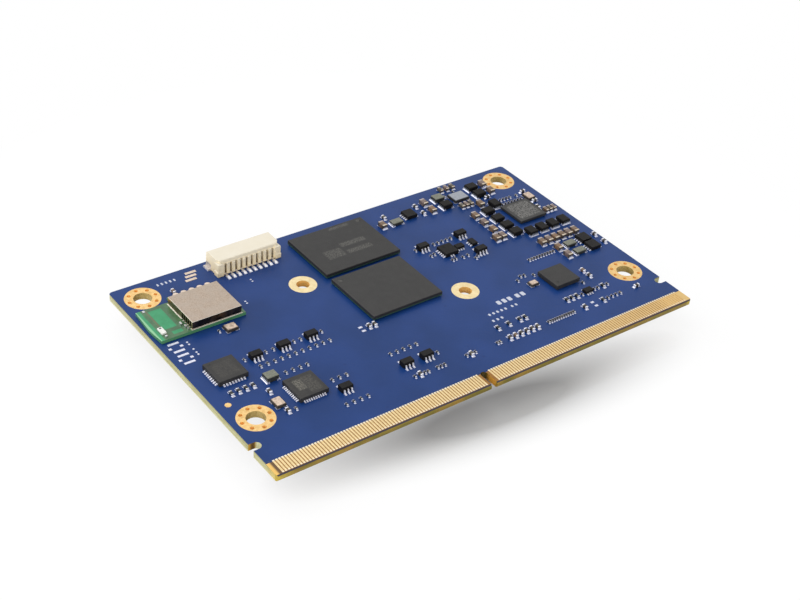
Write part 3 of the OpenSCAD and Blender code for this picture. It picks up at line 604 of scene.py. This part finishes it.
def shield_material():
    """Rolled sheet with fine grain. Its walls are dark and blotched, a painted reflection of the board and
    the crystal, with a bright solder foot and a painted highlight along their upper edge.

    The left wall is olive, a painted reflection of the radio board.
    """
    made = Recipe("shield_metal", rgb(182, 164, 148), 0.34, 1.0)
    grain = made.noise(0.16, 4)
    cloud = made.noise(1.6, 2)
    top = made.mix(made.stretch(grain, 0.35, 0.65), rgb(168, 151, 136), rgb(192, 176, 160))
    top = made.mix(made.stretch(cloud, 0.4, 0.6, 0, 0.4), top, rgb(184, 172, 160))
    # Painted reflection: dark walls with brown blotches, and an olive left wall
    reflected_blotch = made.stretch(made.noise(1.1), 0.44, 0.62)
    wall = made.mix(reflected_blotch, rgb(62, 56, 50), rgb(112, 92, 74))
    left = made.mix(reflected_blotch, rgb(104, 98, 62), rgb(142, 134, 96))
    wall = made.mix(made.below(made.facing(0), -0.6), wall, left)
    foot = min(vert.co.z for vert in NODES["radio_shield"].data.vertices) / MM
    up = made.facing_up()
    # Bright solder along the foot, and a painted highlight on the bevelled upper edge
    bright = made.larger(made.below(made.axis(2), foot + SHIELD_FOOT_H), made.stretch(up, 0.1, 0.3))
    wall = made.mix(bright, wall, rgb(244, 242, 230))
    level = made.stretch(up, 0.8, 0.95)
    made.colour(made.mix(level, wall, top))
    made.feed(made.minus(1, made.times(bright, made.minus(0.8, level))), made.shader.inputs["Metallic"])
    made.rough(made.stretch(grain, 0.3, 0.7, 0.28, 0.45))
    made.bump(grain, 0.01, 0.5)
    return made.material


def pin_material():
    """Header contacts: bright feet on the board, and painted shade, dark brown, where they stand in the
    slots.
    """
    made = Recipe("header_pin", rgb(214, 206, 200), 0.5, 0.7)
    patchy = made.clouds(0.3)
    foot = made.mix(patchy, rgb(214, 206, 200), rgb(232, 226, 222))
    # Painted shade inside the housing's slots
    shaded_stem = made.mix(patchy, rgb(84, 68, 44), rgb(112, 92, 62))
    foot_top = BOARD_TOP + PIN_FOOT_H
    made.colour(made.mix(made.stretch(made.axis(2), foot_top, foot_top + 0.1), foot, shaded_stem))
    made.grainy(patchy, 0.42, 0.58, 0.008)
    return made.material


def antenna_material():
    """White ceramic with one black dot near its rear end."""
    made = Recipe("antenna_ceramic", rgb(236, 236, 232), 0.5)
    cloud = made.clouds(0.25)
    white = made.mix(cloud, rgb(222, 222, 216), rgb(236, 236, 232))
    dot = made.times(made.patch(*ANTENNA_DOT), made.facing_up())
    made.colour(made.mix(dot, white, rgb(30, 30, 30)))
    made.grainy(cloud, 0.42, 0.6, 0.006)
    return made.material


def spare_pad_material():
    """Bright tinned pads, and the three bars beside the header in bare pinkish metal."""
    made = Recipe("spare_pad", rgb(226, 227, 240), 0.42, 0.85)
    patchy = made.clouds(0.3)
    bright = made.mix(patchy, rgb(204, 205, 220), rgb(226, 227, 240))
    pink = made.mix(patchy, rgb(204, 184, 166), rgb(226, 208, 190))
    made.colour(made.mix(made.patch(*HEADER_BARS), bright, pink))
    made.grainy(patchy, 0.36, 0.5, 0.01)
    return made.material


def cap_end_material(name, light, dark):
    """Fired metal on a capacitor's end: its top catches the light, and its walls are painted dark, a
    painted reflection of the dark board.
    """
    made = Recipe(name, light, 0.5, 0.7)
    patchy = made.clouds(0.3)
    # Painted dark reflection on the end's walls
    wall = made.mix(patchy, rgb(84, 76, 70), rgb(112, 104, 96))
    made.colour(made.mix(made.stretch(made.facing_up(), 0.15, 0.6), wall, made.mix(patchy, dark, light)))
    made.grainy(patchy, 0.42, 0.6, 0.01)
    return made.material


# Pale marks on chips, as fields given by x0, x1, y0, y1 and a strength, and how soft their edges are
MARK_SOFT = 0.15
PROCESSOR_MARKS = ((32.9, 33.5, 32.8, 33.4, 0.35),)
MEMORY_MARKS = (
    (40.1, 44.1, 46.3, 47, 0.55),
    (45.9, 46.5, 46.4, 46.9, 0.9),
    (39.2, 44.1, 41.1, 42.2, 0.55),
    (39.2, 44.1, 38.9, 40, 0.55),
    (35.2, 38.6, 38.9, 41.3, 0.5),
)
SMALL_CHIP_MARKS = (
    (12.2, 13.6, 13, 15.4, 0.55),
    (13.6, 15.6, 11.9, 15.6, 0.2),
    (3.8, 7.2, 21.4, 24.8, 0.08),
)
POWER_CHIP_MARKS = ((72.4, 77.1, 32.9, 37.4, 0.42),)


def make_looks():
    """The materials of the CAD nodes and pieces, by name."""
    return {
        "mask": mask_material(),
        "tin": metal_material("tin", rgb(222, 222, 226), rgb(196, 196, 200), 0.36),
        "foot_metal": metal_material("foot_metal", rgb(214, 206, 200), rgb(190, 182, 176), 0.5,
                                     metallic=0.7),
        "solder": metal_material("solder_land", rgb(226, 227, 240), rgb(204, 205, 220), 0.42,
                                 metallic=0.85),
        "fillet": metal_material("solder_fillet", rgb(212, 214, 228), rgb(194, 196, 210), 0.3, 0.4),
        "ring": ring_material(),
        "contact": contact_material(),
        "radio_joint": metal_material("radio_joint", rgb(226, 210, 196), rgb(210, 192, 176), 0.5,
                                      metallic=0.8),
        # Lit and shaded copies of one end metal: painted shade on rear and left ends, painted light on
        # front and right ones
        "cap_end_painted_shade": cap_end_material("cap_end_painted_shade", rgb(190, 182, 180), rgb(164, 154, 152)),
        "cap_end_painted_light": cap_end_material("cap_end_painted_light", rgb(214, 202, 184), rgb(190, 176, 156)),
        # A shaded copy of tin: painted shade on grain ends that are crowded or out of the light
        "tin_painted_shade": metal_material("tin_painted_shade", rgb(150, 150, 160), rgb(124, 124, 134), 0.5, metallic=0.7),
        "lead": metal_material("lead_tin", rgb(244, 244, 250), rgb(226, 226, 234), 0.45, metallic=0.6),
        "pin": pin_material(),
        "spare": spare_pad_material(),
        "coil_foot": coil_foot_material(),
        "dark": mould_material("chip_compound", rgb(40, 39, 38), rgb(31, 30, 29), 0.08),
        "small_dark": mould_material("lead_chip_compound", rgb(20, 17, 16), rgb(10, 8, 8), 0.1, 0.5, 0.2),
        "processor": print_material("processor_compound", rgb(40, 39, 38), rgb(31, 30, 29), PROCESSOR_MARKS,
                                    rgb(112, 110, 104), 3),
        "memory": print_material("memory_compound", rgb(36, 35, 34), rgb(28, 27, 26), MEMORY_MARKS,
                                 rgb(112, 110, 104), 0.15),
        "marked": print_material("marked_compound", rgb(40, 38, 36), rgb(28, 27, 26), SMALL_CHIP_MARKS,
                                 rgb(140, 136, 124), 0.2),
        "power": print_material("power_compound", rgb(52, 51, 50), rgb(36, 36, 35), POWER_CHIP_MARKS,
                                rgb(160, 158, 154), 0.28),
        "green": green_material(),
        "header": header_material(),
        "shield": shield_material(),
        "antenna": antenna_material(),
        "chip_base": ceramic_material("chip_base", rgb(48, 80, 62), rgb(36, 62, 50), 0.5),
        "silicon": ceramic_material("silicon", rgb(110, 110, 120), rgb(90, 90, 100), 0.3),
        "dark_ferrite": ceramic_material("dark_ferrite", rgb(26, 23, 20), rgb(13, 12, 11), 0.5, shine=0.15),
        # The grey coils' walls carry painted shade
        "grey_ferrite": ceramic_material("grey_ferrite", rgb(124, 126, 112), rgb(98, 100, 88), 0.5,
                                         wall=0.4),
        "tan_cap": ceramic_material("tan_cap", rgb(126, 102, 80), rgb(96, 76, 58), 0.42),
        "orange_cap": ceramic_material("orange_cap", rgb(134, 104, 76), rgb(102, 78, 56), 0.42),
        "pink_cap": ceramic_material("pink_cap", rgb(130, 112, 104), rgb(98, 82, 76), 0.42),
        "dark_cap": ceramic_material("dark_cap", rgb(70, 63, 55), rgb(48, 43, 38), 0.4),
        "olive_cap": ceramic_material("olive_cap", rgb(100, 94, 80), rgb(70, 66, 56), 0.42),
        "film": ceramic_material("black_film", rgb(30, 32, 34), rgb(16, 18, 20), 0.3),
        "grain": ceramic_material("grain_film", rgb(38, 37, 36), rgb(22, 21, 20), 0.35),
        "tray": ceramic_material("tray_ceramic", rgb(60, 52, 42), rgb(44, 38, 32), 0.5),
        "tan_lid": metal_material("tan_lid", rgb(226, 206, 188), rgb(176, 156, 138), 0.45, 0.45, 0.7),
        "grey_lid": metal_material("grey_lid", rgb(168, 172, 180), rgb(148, 152, 160), 0.4, metallic=0.85),
        "ink": ceramic_material("white_ink", rgb(206, 210, 222), rgb(180, 184, 198), 0.6, 0.15),
    }


# Nodes that aren't named here are tinned
NODE_LOOKS = {
    "circuit_board": "mask", "top_contacts": "contact", "under_contacts": "contact",
    "corner_hole_plating": "ring", "cooler_hole_plating": "ring", "target_dot": "ring",
    "spare_lands": "spare", "part_lands": "solder",
    "header_housing": "header", "header_anchors": "foot_metal", "header_contacts": "pin",
    "radio_board": "green", "radio_solder": "radio_joint", "radio_shield": "shield",
    "radio_antenna": "antenna", "radio_inner_chip": "dark",
    "processor_base": "chip_base", "processor_die": "silicon", "processor_cover": "processor",
    "memory_base": "chip_base", "memory_die": "silicon", "memory_cover": "memory",
    "power_chip_body": "power", "network_chip_body": "dark", "sound_chip_body": "marked",
    "link_chip_body": "marked", "shift_chip_body": "small_dark",
    "six_lead_bodies": "small_dark", "eight_lead_bodies": "small_dark", "tiny_chip_bodies": "small_dark",
    "sound_chip_leads": "lead", "link_chip_leads": "lead", "shift_chip_leads": "lead",
    "six_lead_leads": "lead", "eight_lead_leads": "lead", "tiny_chip_leads": "lead",
    "power_coil_bodies": "dark_ferrite", "dark_coil_bodies": "dark_ferrite",
    "grey_coil_bodies": "grey_ferrite", "coil_ends": "coil_foot",
    "large_cap_bodies": "tan_cap", "medium_cap_bodies": "tan_cap", "small_cap_bodies": "olive_cap",
    "cap_ends": "cap_end_painted_light", "resistor_bodies": "film", "grain_bodies": "grain",
    "crystal_bases": "tray", "crystal_lids": "tan_lid",
    "oscillator_base": "dark", "oscillator_lid": "grey_lid",
}


def dress_nodes(looks):
    """Gives every CAD node its look."""
    for name, thing in NODES.items():
        if not thing.data.materials:
            thing.data.materials.append(None)
        for index in range(len(thing.data.materials)):
            thing.data.materials[index] = looks[NODE_LOOKS.get(name, "tin")]


# Meshes of the CAD nodes

# Vertices nearer than WELD metres merge. Faces that turn by less than FLAT_TURN join, and an edge
# that turns by more than SHARP_TURN is sharp.
WELD = 1e-7
FLAT_TURN = math.radians(1)
SHARP_TURN = math.radians(30)
SIDE_SLACK = 0.02


class Box:
    """The corners of one separate solid, in millimetres from the board's front left corner."""

    def __init__(self, verts):
        places = [vert.co / MM + CORNER for vert in verts]
        self.low = Vector([min(place[i] for place in places) for i in range(3)])
        self.high = Vector([max(place[i] for place in places) for i in range(3)])
        self.middle = (self.low + self.high) / 2
        self.size = self.high - self.low

    def holds(self, place):
        """Whether a place is over or under the box, or just beside it."""
        return all(self.low[i] - SIDE_SLACK < place[i] < self.high[i] + SIDE_SLACK for i in (0, 1))

    def distance(self, other):
        """How far another box's middle is, seen from above."""
        return (other.middle - self.middle).xy.length


def whole_mesh(name):
    """A copy of a CAD node's mesh, with its triangles merged back into whole faces."""
    made = bmesh.new()
    made.from_mesh(NODES[name].data)
    bmesh.ops.remove_doubles(made, verts=made.verts, dist=WELD)
    bmesh.ops.dissolve_limit(made, angle_limit=FLAT_TURN, verts=made.verts, edges=made.edges)
    return made


def islands(shape):
    """Lists of vertices, one for each separate solid of a mesh."""
    shape.verts.index_update()
    seen = set()
    groups = []
    for start in shape.verts:
        if start.index in seen:
            continue
        seen.add(start.index)
        group = [start]
        for vert in group:
            for edge in vert.link_edges:
                other = edge.other_vert(vert)
                if other.index not in seen:
                    seen.add(other.index)
                    group.append(other)
        groups.append(group)
    return groups


def boxes(*names):
    """The boxes of all solids in these nodes."""
    found = []
    for name in names:
        shape = whole_mesh(name)
        found += [Box(group) for group in islands(shape)]
        shape.free()
    return found


def nearest(place, choices):
    """The box whose middle is nearest to a place, seen from above."""
    return min(choices, key=lambda box: (box.middle - place).xy.length)


def outward(end, body):
    """The level direction in which a body's end or lead lies from it."""
    shares = [(end.middle[i] - body.middle[i]) / body.size[i] for i in (0, 1)]
    axis = 0 if abs(shares[0]) > abs(shares[1]) else 1
    way = Vector((0, 0, 0))
    way[axis] = math.copysign(1, shares[axis])
    return way


def add_piece(name, shape, materials, stands_for=()):
    """A mesh object that rides on the board. It hides the nodes that it stands for."""
    mesh = bpy.data.meshes.new(name)
    shape.to_mesh(mesh)
    shape.free()
    for material in materials:
        mesh.materials.append(material)
    mesh.shade_smooth()
    mesh.set_sharp_from_angle(angle=SHARP_TURN)
    piece = bpy.data.objects.new(name, mesh)
    bpy.context.scene.collection.objects.link(piece)
    even = piece.modifiers.new("even_shading", "WEIGHTED_NORMAL")
    even.keep_sharp = True
    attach(piece, "root")
    if stands_for:
        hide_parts(*stands_for)


def soft_copy(name, node, edge_mm, materials, choose=None, least_mm=0.0, segments=2):
    """Stands for a node, with its edges rounded as moulding, firing and plating leave them.

    Edges shorter than least_mm stay sharp. choose gives the number of a solid's material from its box.
    """
    shape = whole_mesh(node)
    edges = [edge for edge in shape.edges if edge.is_manifold and edge.calc_face_angle(0) > SHARP_TURN
             and edge.calc_length() >= least_mm * MM]
    bmesh.ops.bevel(shape, geom=edges, offset=edge_mm * MM, offset_type="OFFSET", segments=segments,
                    profile=0.5, affect="EDGES", clamp_overlap=True)
    if choose:
        for number, group in enumerate(islands(shape)):
            index = choose(number, Box(group))
            for vert in group:
                for face in vert.link_faces:
                    face.material_index = index
    add_piece(name, shape, materials, (node,))


# Solder

# A fillet's height at shares of its reach, and at shares of its half width to either side
FILLET_CURVE = ((0, 1), (0.2, 0.52), (0.45, 0.24), (0.75, 0.09), (1, 0.03))
FILLET_CROWN = ((-1, 0.45), (-0.7, 0.9), (0, 1), (0.7, 0.9), (1, 0.45))
LONGEST_REACH = 0.4
SHORTEST_REACH = 0.04
# How far a fillet starts inside its end, how much narrower it is, how much it widens, and how far
# it stays from its land's sides
FILLET_START = 0.015
FILLET_INSET = 0.01
FILLET_SPREAD = 0.06
LAND_MARGIN = 0.02
# A land is looked for this far from the tip of an end or a foot, and this near its underside
TIP_STEP = 0.05
SEAT_SLACK = 0.03
# A mound's grid, from side to side, and the square of its height at the rim
MOUND_STEPS = (-1, -0.8, -0.4, 0, 0.4, 0.8, 1)
LEAST_CROWN = 0.02
# How high a mound is, and how far it goes past its land at the sides and behind
MOUND_HEIGHT = 0.3
MOUND_SIDE = 0.03
MOUND_BEHIND = 0.1
# Added solids go this deep into what they lie on
SUNK = 0.01
CAP_BODIES = ("large_cap_bodies", "medium_cap_bodies", "small_cap_bodies")
COIL_BODIES = ("power_coil_bodies", "dark_coil_bodies", "grey_coil_bodies")
# Ends, their bodies, and how high solder climbs, as a share of the end's height plus a length
SOLDERED = (
    ("cap_ends", CAP_BODIES, 0.6, 0),
    ("resistor_ends", ("resistor_bodies",), 0.7, 0),
    ("grain_ends", ("grain_bodies",), 0.6, 0),
    ("six_lead_leads", ("six_lead_bodies",), 0, 0.1),
    ("eight_lead_leads", ("eight_lead_bodies",), 0, 0.09),
    ("tiny_chip_leads", ("tiny_chip_bodies",), 0, 0.09),
    ("coil_ends", COIL_BODIES, 0, 0.2),
)


def add_heap(shape, rows, foot):
    """A closed solid: a grid of points as its top, walls down to the height foot, and a flat underside."""
    last_row = len(rows) - 1
    last = len(rows[0]) - 1
    top = {(i, j): shape.verts.new(spot(*point))
           for i, row in enumerate(rows) for j, point in enumerate(row)}
    rim = ([(0, j) for j in range(last)] + [(i, last) for i in range(last_row)]
           + [(last_row, j) for j in range(last, 0, -1)] + [(i, 0) for i in range(last_row, 0, -1)])
    low = {key: shape.verts.new(spot(rows[key[0]][key[1]].x, rows[key[0]][key[1]].y, foot)) for key in rim}
    for i in range(last_row):
        for j in range(last):
            shape.faces.new((top[i, j], top[i, j + 1], top[i + 1, j + 1], top[i + 1, j]))
    for here, there in zip(rim, rim[1:] + rim[:1]):
        shape.faces.new((top[here], low[here], low[there], top[there]))
    shape.faces.new([low[key] for key in rim])


def add_wedge(shape, place, way, reach, near, far, height):
    """Concave solder from a part's end down to the end of its land. near and far are its half widths."""
    across = Vector((-way.y, way.x, 0))
    rows = []
    for out, rise in FILLET_CURVE:
        half = near + (far - near) * out
        rows.append([place + way * (reach * out) + across * (half * side) + UP * (height * rise * crown)
                     for side, crown in FILLET_CROWN])
    add_heap(shape, rows, place.z - SUNK)


def add_mound(shape, low, high):
    """A rounded heap of solder that fills the level rectangle from low to high."""
    rows = []
    for u in MOUND_STEPS:
        row = []
        for v in MOUND_STEPS:
            crown = math.sqrt(max(LEAST_CROWN, (1 - u ** 4) * (1 - v ** 4)))
            shares = ((u + 1) / 2, (v + 1) / 2, crown)
            row.append(Vector([low[i] + (high[i] - low[i]) * shares[i] for i in range(3)]))
        rows.append(row)
    add_heap(shape, rows, low.z - SUNK)


def land_under(place, lands):
    """The land that a part's end stands on, or None."""
    for land in lands:
        if land.holds(place) and abs(land.high.z - place.z) < SEAT_SLACK:
            return land
    return None


def solder_ends(shape, ends, bodies, lands, share, height):
    """A fillet on the outer side of each end, up to share of the end's height plus height millimetres."""
    for end in ends:
        way = outward(end, nearest(end.middle, bodies))
        axis = 0 if way.x else 1
        face = end.high[axis] if way[axis] > 0 else end.low[axis]
        place = Vector((end.middle.x, end.middle.y, end.low.z))
        place[axis] = face
        land = land_under(place + way * TIP_STEP, lands)
        if land is None:
            continue
        reach = min(LONGEST_REACH, (land.high[axis] - face) if way[axis] > 0 else (face - land.low[axis]))
        near = end.size[1 - axis] / 2 - FILLET_INSET
        far = min(land.size[1 - axis] / 2, near + FILLET_SPREAD) - LAND_MARGIN
        if reach > SHORTEST_REACH:
            add_wedge(shape, place - way * FILLET_START, way, reach, near, far, end.size.z * share + height)


def add_fillets(looks, lands):
    """Solder between small parts or leads and their lands."""
    fillets = bmesh.new()
    for ends, bodies, share, height in SOLDERED:
        solder_ends(fillets, boxes(ends), boxes(*bodies), lands, share, height)
    bmesh.ops.recalc_face_normals(fillets, faces=fillets.faces)
    add_piece("solder_fillets", fillets, [looks["fillet"]])


def add_mounds(looks, lands):
    """Solder over the feet of the header's contacts."""
    mounds = bmesh.new()
    for pin in boxes("header_contacts"):
        foot = Vector((pin.middle.x, pin.low.y + TIP_STEP, 0))
        land = next(box for box in lands if box.holds(foot))
        low = Vector((land.low.x - MOUND_SIDE, land.low.y, land.high.z))
        high = Vector((land.high.x + MOUND_SIDE, land.high.y + MOUND_BEHIND, land.high.z + MOUND_HEIGHT))
        add_mound(mounds, low, high)
    bmesh.ops.recalc_face_normals(mounds, faces=mounds.faces)
    add_piece("header_solder", mounds, [looks["lead"]])


# Printed marks: plain bars where the real board has print

# How thick the print is, and how much of a bar's corners is cut
PRINT_T = 0.02
BAR_CUT = 0.12
# Left end, front side, height of the bars, number of bars, length of one and spacing
PRINT_ROWS = (
    (52.6, 15.4, 1, 3, 0.75, 1.15),
    (56.6, 15.4, 1, 2, 0.75, 1.15),
    (49.3, 13.8, 0.55, 5, 0.4, 0.85),
    (54.1, 13.8, 0.55, 2, 0.4, 0.85),
    (48.8, 12.2, 0.55, 3, 0.4, 0.9),
    (7.6, 47.65, 0.62, 5, 0.3, 0.76),
)


def add_bar(shape, x, y, w, d):
    """A thin printed bar with cut corners."""
    cut = min(BAR_CUT, w / 4, d / 4)
    outline = ((x + cut, y), (x + w - cut, y), (x + w, y + cut), (x + w, y + d - cut),
               (x + w - cut, y + d), (x + cut, y + d), (x, y + d - cut), (x, y + cut))
    low = [shape.verts.new(spot(px, py, BOARD_TOP - SUNK)) for px, py in outline]
    top = [shape.verts.new(spot(px, py, BOARD_TOP + PRINT_T)) for px, py in outline]
    shape.faces.new(top)
    shape.faces.new(low[::-1])
    for i in range(len(outline)):
        j = (i + 1) % len(outline)
        shape.faces.new((low[i], low[j], top[j], top[i]))


def add_print(looks):
    """Rows of plain bars on the board."""
    marks = bmesh.new()
    for x, y, height, count, length, step in PRINT_ROWS:
        for number in range(count):
            add_bar(marks, x + number * step, y, length, height)
    bmesh.ops.recalc_face_normals(marks, faces=marks.faces)
    add_piece("printed_bars", marks, [looks["ink"]])


# Softened copies of the nodes

# The end of a small capacitor is this near its body. Grains are crowded where more than CROWD_COUNT of
# their bodies lie within CROWD_REACH of an end.
SMALL_CAP_REACH = 0.7
CROWD_REACH = 0.9
CROWD_COUNT = 2


def by_turns(*order):
    """Gives the solids of a node the materials in this order, again and again."""
    return lambda number, box: order[number % len(order)]


def add_soft_copies(looks):
    """Pieces that stand for nodes. Many have looks that change from solid to solid."""

    def pick(*names):
        return [looks[name] for name in names]

    cap_bodies = boxes(*CAP_BODIES)
    small_bodies = boxes("small_cap_bodies")
    grain_bodies = boxes("grain_bodies")

    def in_light(box, bodies):
        """Whether an end is the front one or the right one of its body."""
        way = outward(box, nearest(box.middle, bodies))
        return way.y < 0 or way.x > 0

    def cap_end(number, box):
        """Bright on small capacitors, and else by the side that the end is on: a painted lit copy on front
        and right ends, a painted shaded copy on the rest.
        """
        if box.distance(nearest(box.middle, small_bodies)) < SMALL_CAP_REACH:
            return 2
        return 1 if in_light(box, cap_bodies) else 0

    def crowded(box):
        """Whether an end is in one of the dense rows."""
        return sum(box.distance(body) < CROWD_REACH for body in grain_bodies) > CROWD_COUNT

    def grain_end(number, box):
        """Bright where the end is in the light and has room round it; elsewhere a darker copy of tin,
        painted shade.
        """
        return 1 if in_light(box, grain_bodies) and not crowded(box) else 0

    soft_copy("large_caps", "large_cap_bodies", 0.04, pick("tan_cap", "orange_cap", "pink_cap"),
              by_turns(0, 2, 0, 1, 2, 0, 2, 1))
    soft_copy("medium_caps", "medium_cap_bodies", 0.03, pick("tan_cap", "pink_cap", "olive_cap"),
              by_turns(2, 1, 2, 0, 2, 1))
    soft_copy("small_caps", "small_cap_bodies", 0.025, pick("dark_cap", "olive_cap", "tan_cap"),
              by_turns(0, 0, 1, 0, 0, 0, 2))
    soft_copy("cap_caps", "cap_ends", 0.045, pick("cap_end_painted_shade", "cap_end_painted_light", "lead"), cap_end)
    soft_copy("resistors", "resistor_bodies", 0.02, pick("film"))
    soft_copy("resistor_caps", "resistor_ends", 0.025, pick("tin"))
    soft_copy("grains", "grain_bodies", 0.015, pick("grain", "film", "olive_cap"),
              by_turns(0, 0, 1, 0, 2, 0, 1))
    soft_copy("grain_caps", "grain_ends", 0.025, pick("tin_painted_shade", "tin"), grain_end)
    soft_copy("power_coils", "power_coil_bodies", 0.05, pick("dark_ferrite"))
    soft_copy("dark_coils", "dark_coil_bodies", 0.05, pick("dark_ferrite"))
    soft_copy("grey_coils", "grey_coil_bodies", 0.05, pick("grey_ferrite"))
    soft_copy("processor_top", "processor_cover", 0.05, pick("processor"))
    soft_copy("memory_top", "memory_cover", 0.05, pick("memory"), least_mm=0.5)
    soft_copy("antenna", "radio_antenna", 0.04, pick("antenna"))
    soft_copy("shield_can", "radio_shield", 0.07, pick("shield"), least_mm=1.3)
    soft_copy("header_body", "header_housing", 0.1, pick("header"),
              least_mm=0.5, segments=3)


def main():
    add_camera()
    add_world()
    add_lamp("key", KEY_PLACE, KEY_SIZE, KEY_POWER)
    add_lamp("fill", FILL_PLACE, FILL_SIZE, FILL_POWER)
    add_floor()
    looks = make_looks()
    dress_nodes(looks)
    add_soft_copies(looks)
    lands = boxes("part_lands")
    add_fillets(looks, lands)
    add_mounds(looks, lands)
    add_print(looks)
    scene = bpy.context.scene
    scene.view_settings.view_transform = "Standard"


main()
